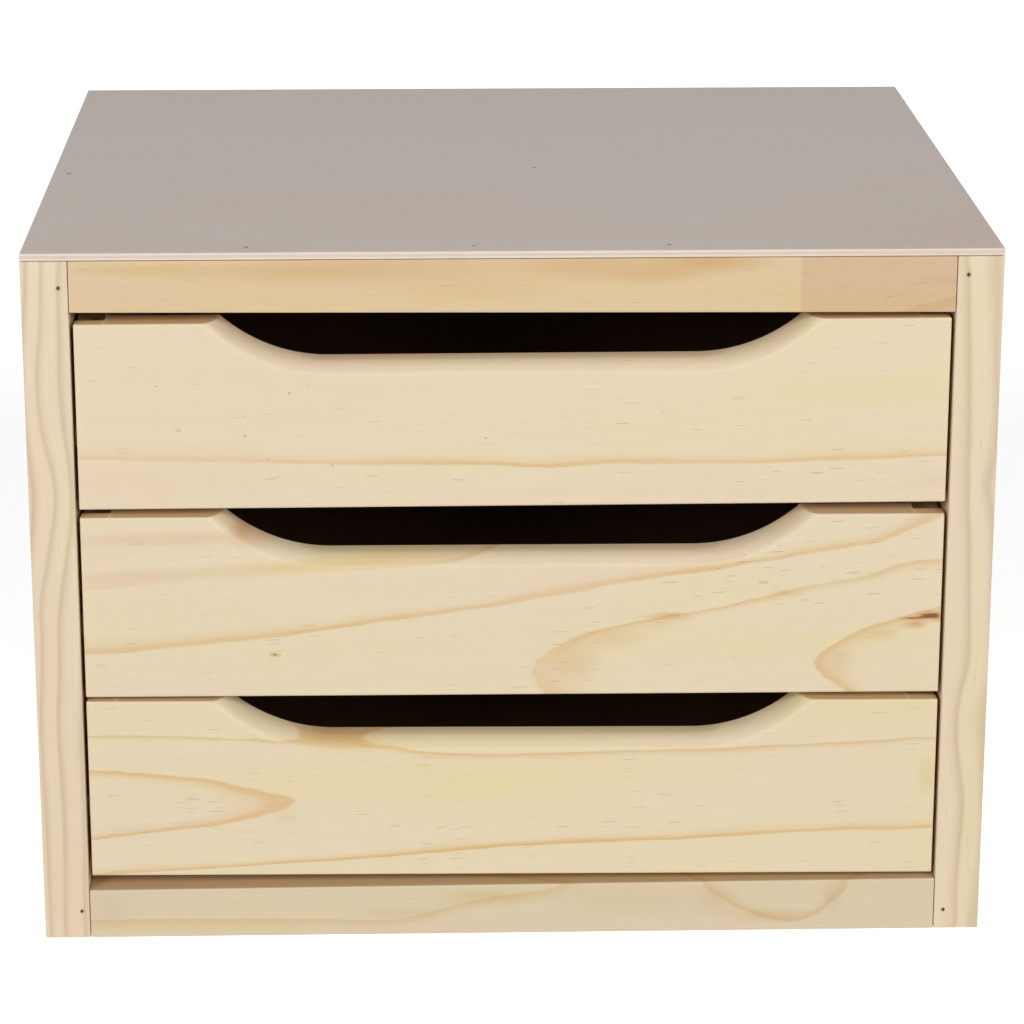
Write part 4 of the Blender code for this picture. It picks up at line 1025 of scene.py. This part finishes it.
def front_surface(low, high, climb, shoulder, lip, groove_low, groove_high, groove_depth):
    """A drawer front with its finger scoop, as a grid of columns from end to end and rows round the section.

    Rows run from the lower back edge forward under the board, over an eased edge, up the face, back over
    the top or the scoop's rounding, and down the back with its groove. A column's x is A times the scoop's
    half-width at the row's depth, plus B, so one column follows the scoop's end edge exactly. The top is the
    lower of the eased edge and the scoop's floor. Past the shoulder the board is only as thick as its lip.
    Last, every point rises by the climb times x, which fades out down the back to the level groove.
    """
    easing = bpy.context.scene.chest_sizes.front_easing
    half, thick = high[0], high[1] - low[1]
    base, height = low[2] + abs(climb) * half, high[2] - low[2] - 2 * abs(climb) * half
    groove_low, groove_high = groove_low - base, groove_high - base
    turn = np.linspace(0, math.pi / 2, EASED_ROWS)
    scoop, land = np.linspace(0, 1, SCOOP_COLUMNS), np.linspace(0, 1, LAND_COLUMNS)[1:]
    tail = np.linspace(shoulder, half - easing, TAIL_COLUMNS)
    ends = half - easing + easing * np.sin(turn[1:])
    follow = np.concatenate([scoop, 1 - land, 0 * tail, 0 * ends])
    fixed = np.concatenate([0 * scoop, land * shoulder, tail, ends])
    depth = np.where(np.arange(len(fixed)) < len(scoop) + len(land), thick, lip)
    inset = np.concatenate([0 * scoop, 0 * land, 0 * tail, easing * (1 - np.cos(turn[1:]))])
    groove = np.where(depth == thick, groove_depth, 0.0)
    mirror = np.arange(len(fixed) - 1, 0, -1)
    follow = np.concatenate([-follow[mirror], follow])[None, :]
    fixed = np.concatenate([-fixed[mirror], fixed])[None, :]
    depth, inset, groove = (np.concatenate([part[mirror], part])[None, :] for part in (depth, inset, groove))

    def x_at(y):
        """x of each column at depth y."""
        radius = SCOOP_END_RADIUS + scoop_growth(y)
        return follow * (SCOOP_ARC_X + np.sqrt(radius**2 - (SCOOP_END_RADIUS - SCOOP_DEPTH) ** 2)) + fixed

    def top_at(y):
        """Height of the top at depth y."""
        dip = easing - np.sqrt(np.maximum(easing**2 - np.maximum(easing - y, 0) ** 2, 0))
        return np.minimum(height - dip, scoop_floor(x_at(y), y, height))

    level = np.zeros_like(depth)
    under = np.linspace(1, 0, EASED_ROWS)[:-1, None]
    face = np.linspace(0, 1, FACE_ROWS)[1:-1, None]
    over = SCOOP_ROUND_DEPTH * (1 - np.cos(np.linspace(0, math.pi / 2, OVER_ROWS)))[:, None] / thick
    rear = np.linspace(0, 1, REAR_ROWS)[1:-1, None]
    rows_y = [
        easing + (depth - easing) * under,
        easing * (1 - np.sin(turn))[:, None] + level,
        face * 0 + level,
        over * depth,
        np.array([[0.95], [1.0]]) * depth,
        rear * 0 + depth,
        depth,
        depth - groove,
        depth - groove,
        depth,
    ]
    top, back = top_at(level), top_at(depth)
    rows_z = [
        under * 0 + level,
        easing * (1 - np.cos(turn))[:, None] + level,
        easing + face * (top - easing),
        top_at(rows_y[3]),
        top_at(rows_y[4]),
        groove_high + (back - groove_high) * (1 - rear),
        groove_high + level,
        groove_high + level,
        groove_low + level,
        groove_low + level,
    ]
    y, z = np.concatenate(rows_y), np.concatenate(rows_z)
    y = np.maximum(y, inset)
    z = np.clip(z, inset, height - inset)
    sloped = sum(len(rows) for rows in rows_z[:5])
    share = np.concatenate([np.ones(sloped), 1 - rear[:, 0], np.zeros(4)])[:, None]
    points = np.stack([x_at(y), low[1] + y, base + z + climb * share * x_at(y)], axis=-1)
    count, columns = y.shape
    quads = grid_quads(count + 1, columns)
    quads = (quads // columns) % count * columns + quads % columns
    rows = np.arange(count) * columns
    return points.reshape(-1, 3), quads, [rows, (rows + columns - 1)[::-1]]


def dome_surface(centres, radius, rise):
    """Brad heads sunk in a back face, as domes: rings of points whose height falls with the square of their
    distance from the middle, closed by a flat cap behind."""
    shares, sides = np.linspace(1, 0.05, HEAD_RINGS), HEAD_SIDES
    turn = np.arange(sides) * math.tau / sides
    ring_x = np.outer(shares, np.cos(turn)) * radius
    ring_z = np.outer(shares, np.sin(turn)) * radius
    ring_y = np.repeat(rise * (1 - shares[:, None] ** 2), sides, axis=1)
    one = np.stack([ring_x, ring_y, ring_z], axis=-1).reshape(-1, 3)
    quads = ring_quads(len(shares), sides)
    inner, outer = np.arange(sides) + (len(shares) - 1) * sides, np.arange(sides)
    points, faces, caps = [], [], []
    for number, centre in enumerate(centres):
        points.append(one + centre)
        faces.append(quads + number * len(one))
        caps += [inner + number * len(one), outer[::-1] + number * len(one)]
    return np.concatenate(points), np.concatenate(faces), caps


class BoardOperator:
    """What every operator here shares: it can be undone."""

    bl_options = {"REGISTER", "UNDO"}


class CHEST_OT_add_side_panels(BoardOperator, bpy.types.Operator):
    """Adds the two side panels, glued up from staves, with the pits of the brads in their front edges"""

    bl_idname = "chest.add_side_panels"
    bl_label = "Add Side Panels"

    def execute(self, context):
        sizes = context.scene.chest_sizes
        summer_colour = context.scene.chest_colours.panel_summer
        material = finish("planed_pine_panel", planed_pine, summer_colour, PANEL_SEASON)
        for seed, hand in enumerate(HANDS, start=1):
            low, high = box_of(f"{hand}_side_panel")
            brads = [f"{level}_{hand}_stile_brad" for level in ("top", "bottom")]
            pits = head_places(brads, 1, low[1])
            joints = low[1] + sizes.stave_width * np.arange(1, len(STAVES) + 1)
            extras = (
                pit_lines(pits[:, 0], sizes.pit_radius),
                np.add.outer(joints, [-0.00002, 0.00002]),
                pit_lines(pits[:, 2], sizes.pit_radius),
            )
            points, faces = board_surface(low, high, SPACINGS["side_panel"], sizes.board_easing, extras)
            points = press_pits(points, pits, (0, 1, 0), sizes.pit_radius, PINE_PIT_DEPTH)
            figure, flaws = panel_fields(points, hand)
            add_piece(
                f"{hand}_panel_board", (points, faces, []), figure, flaws, material,
                [f"{hand}_side_panel"], seed, (2, 0, 1),
            )
        return {"FINISHED"}


class CHEST_OT_add_sheets(BoardOperator, bpy.types.Operator):
    """Adds the plywood top and back, with the pits of the brads in the top"""

    bl_idname = "chest.add_sheets"
    bl_label = "Add Plywood Top and Back"

    def execute(self, context):
        sizes = context.scene.chest_sizes
        material = finish("sanded_plywood", sanded_plywood)
        low, high = box_of("top_panel")
        brads = [f"top_front_{place}_brad" for place in ("left", "middle", "right")]
        pits = head_places(brads + ["top_left_edge_brad", "top_batten_brad"], 2, high[2])
        extras = (pit_lines(pits[:, 0], sizes.pit_radius), pit_lines(pits[:, 1], sizes.pit_radius), ())
        points, faces = board_surface(low, high, SPACINGS["top"], sizes.sheet_easing, extras)
        points = press_pits(points, pits, (0, 0, -1), TOP_PIT_SHARE * sizes.pit_radius, TOP_PIT_DEPTH)
        x, y, _ = ((points - np.array(cad_box[0])) / MM).T
        height = bent_plate(TOP_SHEET_MARKS, x, y, 1.0)
        brown = 0.25 * smooth_step(0.85, 1.15, height) + 0.75 * smooth_step(1.3, 2.3, height)
        figure, flaws = sheet_fields(points, 2, low[2], high[2], brown)
        # Painted shade: the plywood in and round each brad's pit is darkened to a share of its colour
        away = np.linalg.norm(points[:, None, :2] - pits[None, :, :2], axis=2).min(axis=1, keepdims=True)
        dark, pale = (share * sizes.pit_radius for share in DENT_SHADE_EDGES)
        dent = 1 - smooth_step(dark, pale, away)
        tint = 1 + dent * (DENT_SHADE_SHARE - 1) * np.ones(3)
        add_piece(
            "top_sheet", (points, faces, []), figure, flaws, material, ["top_panel"], 3, (0, 1, 2),
            tint=tint,
        )

        low, high = box_of("back_panel")
        heads = np.array([(x, high[1], z) for x, z in BACK_BRADS])
        extras = (pit_lines(heads[:, 0], sizes.pit_radius), (), pit_lines(heads[:, 2], sizes.pit_radius))
        points, faces = board_surface(low, high, SPACINGS["back"], sizes.sheet_easing, extras)
        points = press_pits(points, heads, (0, -1, 0), sizes.pit_radius, BACK_PIT_DEPTH)
        figure, flaws = sheet_fields(points, 1, low[1], high[1])
        add_piece("back_sheet", (points, faces, []), figure, flaws, material, ["back_panel"], 4)
        wire = finish("dull_drawn_wire", dull_drawn_wire)
        surface = dome_surface(heads - (0, HEAD_DEPTH, 0), HEAD_RADIUS, HEAD_RISE)
        empty = np.zeros((len(surface[0]), 3))
        add_piece("back_brad_heads", surface, empty, empty, wire, [], 5)
        return {"FINISHED"}


class CHEST_OT_add_rails(BoardOperator, bpy.types.Operator):
    """Adds the rails between the side panels and the batten under the top"""

    bl_idname = "chest.add_rails"
    bl_label = "Add Rails"

    def execute(self, context):
        sizes = context.scene.chest_sizes
        joint_x = cad_box[0][0] + RAIL_JOINT_X * MM
        material = finish("planed_pine_rail", planed_pine)
        for seed, level in enumerate(("top", "bottom"), start=6):
            low, high = box_of(f"{level}_front_rail")
            blur = RAIL_JOINT_BLUR
            extra = joint_x + np.array([-blur, -blur / 3, blur / 3, blur]) if level == "top" else ()
            # The edge towards the drawers slopes: a point rises by the climb times x, by its share of the
            # way from the level edge to that one
            climb = RAIL_EDGE_CLIMBS[level]
            sloping, still = (low, high) if level == "top" else (high, low)
            sloping[2] += abs(climb) * high[0] * np.sign(still[2] - sloping[2])
            extras = (extra, (), ())
            points, faces = board_surface(low, high, SPACINGS["front_rail"], sizes.board_easing, extras)
            share = (points[:, 2] - still[2]) / (sloping[2] - still[2])
            points[:, 2] += climb * share * points[:, 0]
            figure, flaws = seen_fields(points, RAIL_FIGURES[level])
            tint = np.tile(RAIL_TINTS[level], (len(points), 1))
            if level == "top":
                past = points[:, 0] > joint_x
                figure[past] += TOP_RAIL_RIGHT_FIGURE
                flaws[past] += TOP_RAIL_RIGHT_FLAWS
                share = smooth_step(joint_x - blur, joint_x + blur, points[:, :1])
                tint += share * (np.array(TOP_RAIL_RIGHT_TINT) - tint)
            # The tops of the front rails get the painted shade of faces that look up
            add_piece(
                f"{level}_front_rail_board", (points, faces, []), figure, flaws, material,
                [f"{level}_front_rail"], seed, lean=RAIL_FIGURES[level]["lean"], tint=tint,
                upward_shade=UPWARD_SHADE,
            )
        for seed, node in enumerate(("top_back_rail", "bottom_back_rail", "top_middle_batten"), start=8):
            low, high = box_of(node)
            middle = (low + high) / 2
            beside, behind, lean, base = INNER_PINE[node]
            points, faces = board_surface(low, high, SPACINGS["inner_rail"], sizes.board_easing)
            pith = (middle[2] + beside, middle[1] + behind)
            figure, flaws = pine_fields(points, (0, 2, 1), pith, lean, base)
            surface = (points, faces, [])
            add_piece(f"{node}_board", surface, figure, flaws, material, [node], seed)
        return {"FINISHED"}


class CHEST_OT_add_runners(BoardOperator, bpy.types.Operator):
    """Adds the six runners that the drawers slide on"""

    bl_idname = "chest.add_runners"
    bl_label = "Add Runners"

    def execute(self, context):
        sizes = context.scene.chest_sizes
        material = finish("planed_pine_runner", planed_pine)
        nodes = [f"{level}_{hand}_runner" for level in LEVELS for hand in HANDS]
        beside, behind, lean, base = INNER_PINE["runner"]
        for seed, node in enumerate(nodes, start=11):
            low, high = box_of(node)
            pith = ((low[2] + high[2]) / 2 + beside * (seed % 4 - 1.5), low[0] + behind)
            points, faces = board_surface(low, high, SPACINGS["runner"], sizes.board_easing)
            figure, flaws = pine_fields(points, (1, 2, 0), pith, lean, base)
            add_piece(
                f"{node}_strip", (points, faces, []), figure, flaws, material, [node], seed,
                (1, 2, 0), ends=END_GRAIN_TINT,
            )
        return {"FINISHED"}


class CHEST_OT_add_drawer_fronts(BoardOperator, bpy.types.Operator):
    """Adds the three drawer fronts with their finger scoops"""

    bl_idname = "chest.add_drawer_fronts"
    bl_label = "Add Drawer Fronts"

    def execute(self, context):
        material = finish("sanded_pine_front", planed_pine)
        for seed, level in enumerate(LEVELS, start=17):
            low, high = box_of(f"{level}_drawer_front")
            side_low, _ = box_of(f"{level}_drawer_right_side")
            sheet_low, sheet_high = box_of(f"{level}_drawer_bottom")
            groove = (sheet_low[2] - GAP, sheet_high[2] + GAP, high[1] - sheet_low[1] + GAP)
            shoulder, lip = side_low[0] - GAP, side_low[1] - GAP - low[1]
            surface = front_surface(low, high, FRONT_CLIMBS[level], shoulder, lip, *groove)
            figure, flaws = seen_fields(surface[0], FRONT_FIGURES[level])
            # Past the scoop the top gets the painted shade of faces that look up; in the scoop its floor gets
            # a lighter painted shade, and the middle of its rounding painted light
            past = np.abs(surface[0][:, :1]) > SCOOP_HALF_WIDTH
            upward_shade, sanded = np.where(past, UPWARD_SHADE, SCOOP_FLOOR_SHADE), np.where(past, 0, ROUNDING_LIGHT_SHARE)
            add_piece(
                f"{level}_front_board", surface, figure, flaws, material,
                [f"{level}_drawer_front"], seed, lean=FRONT_FIGURES[level]["lean"], upward_shade=upward_shade,
                sanded=sanded, ends=END_GRAIN_TINT,
            )
        return {"FINISHED"}


class CHEST_OT_add_drawer_boxes(BoardOperator, bpy.types.Operator):
    """Adds the sides, backs and bottoms of the three drawers"""

    bl_idname = "chest.add_drawer_boxes"
    bl_label = "Add Drawer Boxes"

    def execute(self, context):
        sizes = context.scene.chest_sizes
        pine = finish("planed_pine_drawer", planed_pine)
        hardboard = finish("tempered_hardboard", tempered_hardboard)
        around, along = SPACINGS["drawer_side"]
        seed = 20
        for level in LEVELS:
            sheet_low, sheet_high = box_of(f"{level}_drawer_bottom")
            for hand, sign in HANDS.items():
                node = f"{level}_drawer_{hand}_side"
                low, high = box_of(node)
                runner_low, runner_high = box_of(f"{level}_{hand}_runner")
                outer, inner = (low[0], high[0]) if sign < 0 else (high[0], low[0])
                tip = (runner_high[0] if sign < 0 else runner_low[0]) - sign * SLOT_SPARE
                slot = (runner_low[2] - RUNNER_UNDER_GAP, runner_high[2] + GAP)
                bottom_edge = (sheet_low[0] if sign < 0 else sheet_high[0]) + sign * GAP
                brads = [f"{level}_drawer_{hand}_{place}_brad" for place in ("lower", "upper", "back")]
                pits = head_places(brads, 0, outer)
                section = outline(
                    (
                        (outer, low[2]), (outer, slot[0]), (tip, slot[0]), (tip, slot[1]), (outer, slot[1]),
                        (outer, high[2]), (inner, high[2]), (inner, sheet_high[2] + GAP),
                        (bottom_edge, sheet_high[2] + GAP), (bottom_edge, sheet_low[2] - GAP),
                        (inner, sheet_low[2] - GAP), (inner, low[2]),
                    ),
                    [LOWER_EASING, MOUTH_EASING, 0, 0, MOUTH_EASING, UPPER_EASING, UPPER_EASING]
                    + [0, 0, 0, 0, LOWER_EASING],
                    around,
                    pit_lines(pits[:, 2], sizes.pit_radius).ravel(),
                )
                lines = grid_lines(low[1], high[1], along, 0, pit_lines(pits[:, 1], sizes.pit_radius))
                points, faces, caps = swept(section, lines)
                points = press_pits(points, pits, (-sign, 0, 0), sizes.pit_radius, PINE_PIT_DEPTH)
                seed += 1
                beside, behind, lean, (contrast, warmth, *flaw_base) = INNER_PINE["drawer_side"]
                pith = (low[2] + DRAWER_SIDE_PITH + beside * (seed % 4 - 1.5), inner - sign * behind)
                lean = lean * (1 if seed % 2 else -1)
                base = (contrast, warmth * math.sin(2.1 * seed), *flaw_base)
                figure, flaws = pine_fields(points, (1, 2, 0), pith, lean, base)
                # Their tops get the painted shade of faces that look up
                add_piece(
                    f"{level}_drawer_{hand}_board", (points, faces, caps), figure, flaws, pine,
                    [node], seed, (1, 2, 0), upward_shade=UPWARD_SHADE, ends=END_GRAIN_TINT,
                )

            node = f"{level}_drawer_back"
            low, high = box_of(node)
            points, faces = board_surface(low, high, SPACINGS["drawer_back"], sizes.board_easing)
            seed += 1
            beside, behind, lean, base = INNER_PINE["drawer_back"]
            pith = (low[2] + beside, high[1] + behind)
            figure, flaws = pine_fields(points, (0, 2, 1), pith, lean, base)
            surface = (points, faces, [])
            add_piece(f"{node}_board", surface, figure, flaws, pine, [node], seed)

            node, spacings = f"{level}_drawer_bottom", SPACINGS["drawer_bottom"]
            points, faces = board_surface(sheet_low, sheet_high, spacings, sizes.sheet_easing)
            seed += 1
            empty = np.zeros_like(points)
            surface = (points, faces, [])
            add_piece(
                f"{node}_sheet", surface, empty, empty, hardboard, [node], seed, (0, 1, 2)
            )
        return {"FINISHED"}


class CHEST_OT_finish_brads(BoardOperator, bpy.types.Operator):
    """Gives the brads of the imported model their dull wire"""

    bl_idname = "chest.finish_brads"
    bl_label = "Finish Brads"

    def execute(self, context):
        wire = finish("dull_drawn_wire", dull_drawn_wire)
        brads = [node for name, node in frame["nodes"].items() if name.endswith("_brad")]
        if not brads:
            raise RuntimeError("the packed model has no brads")
        for brad in brads:
            brad.data.materials.clear()
            brad.data.materials.append(wire)
        return {"FINISHED"}


class CHEST_OT_add_stage(BoardOperator, bpy.types.Operator):
    """Adds the floor, the soft lamps, the world and the camera"""

    bl_idname = "chest.add_stage"
    bl_label = "Add Stage"

    def execute(self, context):
        scene = context.scene
        # Floor: a disc from rings of points, an even number of them round each ring
        turn, rings = np.arange(FLOOR_SIDES) * math.tau / FLOOR_SIDES, len(FLOOR_RING_SHARES)
        across, up = (np.outer(FLOOR_RING_SHARES, share) for share in (np.cos(turn), np.sin(turn)))
        points = np.stack([across, up, np.zeros((rings, FLOOR_SIDES))], axis=-1).reshape(-1, 3)
        points[:, :2] *= scene.chest_sizes.floor_radius
        points[:, 2] = -FLOOR_DROP
        quads = ring_quads(rings, FLOOR_SIDES)
        mesh = bpy.data.meshes.new("floor")
        mesh.from_pydata(points.tolist(), [], [*quads.tolist(), list(range(FLOOR_SIDES - 1, -1, -1))])
        mesh.materials.append(pale_floor("matt_pale_floor"))
        floor = bpy.data.objects.new("floor", mesh)
        scene.collection.objects.link(floor)

        world = bpy.data.worlds.new("studio")
        scene.world = world
        world.use_nodes = True
        tree = world.node_tree
        ambient = tree.nodes["Background"]
        ambient.inputs["Color"].default_value = WHITE
        ambient.inputs["Strength"].default_value = AMBIENT
        white = add_node(tree, "ShaderNodeBackground", {"Color": WHITE, "Strength": 1.0})
        shares = {0: seen_directly(tree), 1: ambient.outputs[0], 2: white}
        both = add_node(tree, "ShaderNodeMixShader", shares)
        tree.links.new(both, tree.nodes["World Output"].inputs["Surface"])

        for name, place, size, power in LAMPS:
            light = bpy.data.lights.new(name, "AREA")
            light.shape = "RECTANGLE"
            light.size, light.size_y = size
            light.energy = power
            lamp = bpy.data.objects.new(name, light)
            direction = np.array(LAMP_TARGET) - np.array(place)
            lamp.location = place
            lamp.rotation_euler = (
                math.atan2(math.hypot(direction[0], direction[1]), -direction[2]),
                0,
                math.atan2(-direction[0], direction[1]),
            )
            scene.collection.objects.link(lamp)

        camera = bpy.data.objects.new("camera", bpy.data.cameras.new("camera"))
        camera.data.lens = CAMERA_LENS
        camera.data.sensor_width = CAMERA_SENSOR
        camera.data.clip_start = CAMERA_NEAR
        camera.location = CAMERA_PLACE
        camera.rotation_euler = [math.radians(angle) for angle in CAMERA_TURN]
        scene.collection.objects.link(camera)
        scene.camera = camera
        scene.view_settings.view_transform = "Standard"
        return {"FINISHED"}


def seen_directly(tree):
    """1 where a camera, glossy or transmission ray arrives, so that mirrors and glass show the stage too."""
    path = add_node(tree, "ShaderNodeLightPath", output=None)
    seen = {0: path["Is Camera Ray"], 1: path["Is Glossy Ray"]}
    seen = {0: add_node(tree, MATHS, seen, operation="MAXIMUM"), 1: path["Is Transmission Ray"]}
    return add_node(tree, MATHS, seen, operation="MAXIMUM")


def pale_floor(name):
    """Matt white studio paper. To camera, glossy and transmission rays it also glows a little, so that its
    lit part is white while the shadow of the chest still shows on it."""
    material = bpy.data.materials.new(name)
    material.use_nodes = True
    tree = material.node_tree
    tree.nodes.clear()
    shade = (*bpy.context.scene.chest_colours.floor, 1)
    place = add_node(tree, "ShaderNodeTexCoord", output="Object")
    tooth = add_node(tree, NOISE, {"Vector": place, "Scale": 900.0, "Detail": 2.0})
    bump = add_node(tree, BUMP, {"Height": tooth, "Strength": 0.05, "Distance": 0.0002})
    paper = add_node(tree, "ShaderNodeBsdfDiffuse", {"Color": shade, "Normal": bump})
    away = add_node(tree, "ShaderNodeVectorMath", {0: place}, "Value", operation="LENGTH")
    (near, least), (far, most) = FLOOR_GLOW
    span = {"Value": away, "From Min": near, "From Max": far, "To Min": least, "To Max": most}
    glow = add_node(tree, SPAN, span, interpolation_type="SMOOTHSTEP")
    glow = add_node(tree, MATHS, {0: seen_directly(tree), 1: glow}, operation="MULTIPLY")
    glow = add_node(tree, "ShaderNodeEmission", {"Color": WHITE, "Strength": glow})
    both = add_node(tree, "ShaderNodeAddShader", {0: paper, 1: glow})
    output = tree.nodes.new("ShaderNodeOutputMaterial")
    tree.links.new(both, output.inputs["Surface"])
    return material


class CHEST_PT_panel(bpy.types.Panel):
    """Lists the chest's sizes, colours and pieces"""

    bl_idname = "CHEST_PT_panel"
    bl_label = "Chest of Drawers"
    bl_space_type = "VIEW_3D"
    bl_region_type = "UI"
    bl_category = "Chest"

    def draw(self, context):
        for group in (context.scene.chest_sizes, context.scene.chest_colours):
            column = self.layout.column(align=True)
            for name in group.bl_rna.properties.keys():
                if name not in ("rna_type", "name"):
                    column.prop(group, name)
        column = self.layout.column()
        for operator in OPERATORS:
            column.operator(operator.bl_idname)


OPERATORS = (
    CHEST_OT_add_side_panels,
    CHEST_OT_add_sheets,
    CHEST_OT_add_rails,
    CHEST_OT_add_runners,
    CHEST_OT_add_drawer_fronts,
    CHEST_OT_add_drawer_boxes,
    CHEST_OT_finish_brads,
    CHEST_OT_add_stage,
)
CLASSES = (ChestSizes, ChestColours, *OPERATORS, CHEST_PT_panel)


def register():
    for item in CLASSES:
        bpy.utils.register_class(item)
    bpy.types.Scene.chest_sizes = PointerProperty(type=ChestSizes)
    bpy.types.Scene.chest_colours = PointerProperty(type=ChestColours)


def unregister():
    del bpy.types.Scene.chest_colours
    del bpy.types.Scene.chest_sizes
    for item in reversed(CLASSES):
        bpy.utils.unregister_class(item)


def main():
    """Adds every piece and the stage."""
    register()
    for operator in OPERATORS:
        group, name = operator.bl_idname.split(".")
        getattr(getattr(bpy.ops, group), name)()


if __name__ == "__main__":
    main()
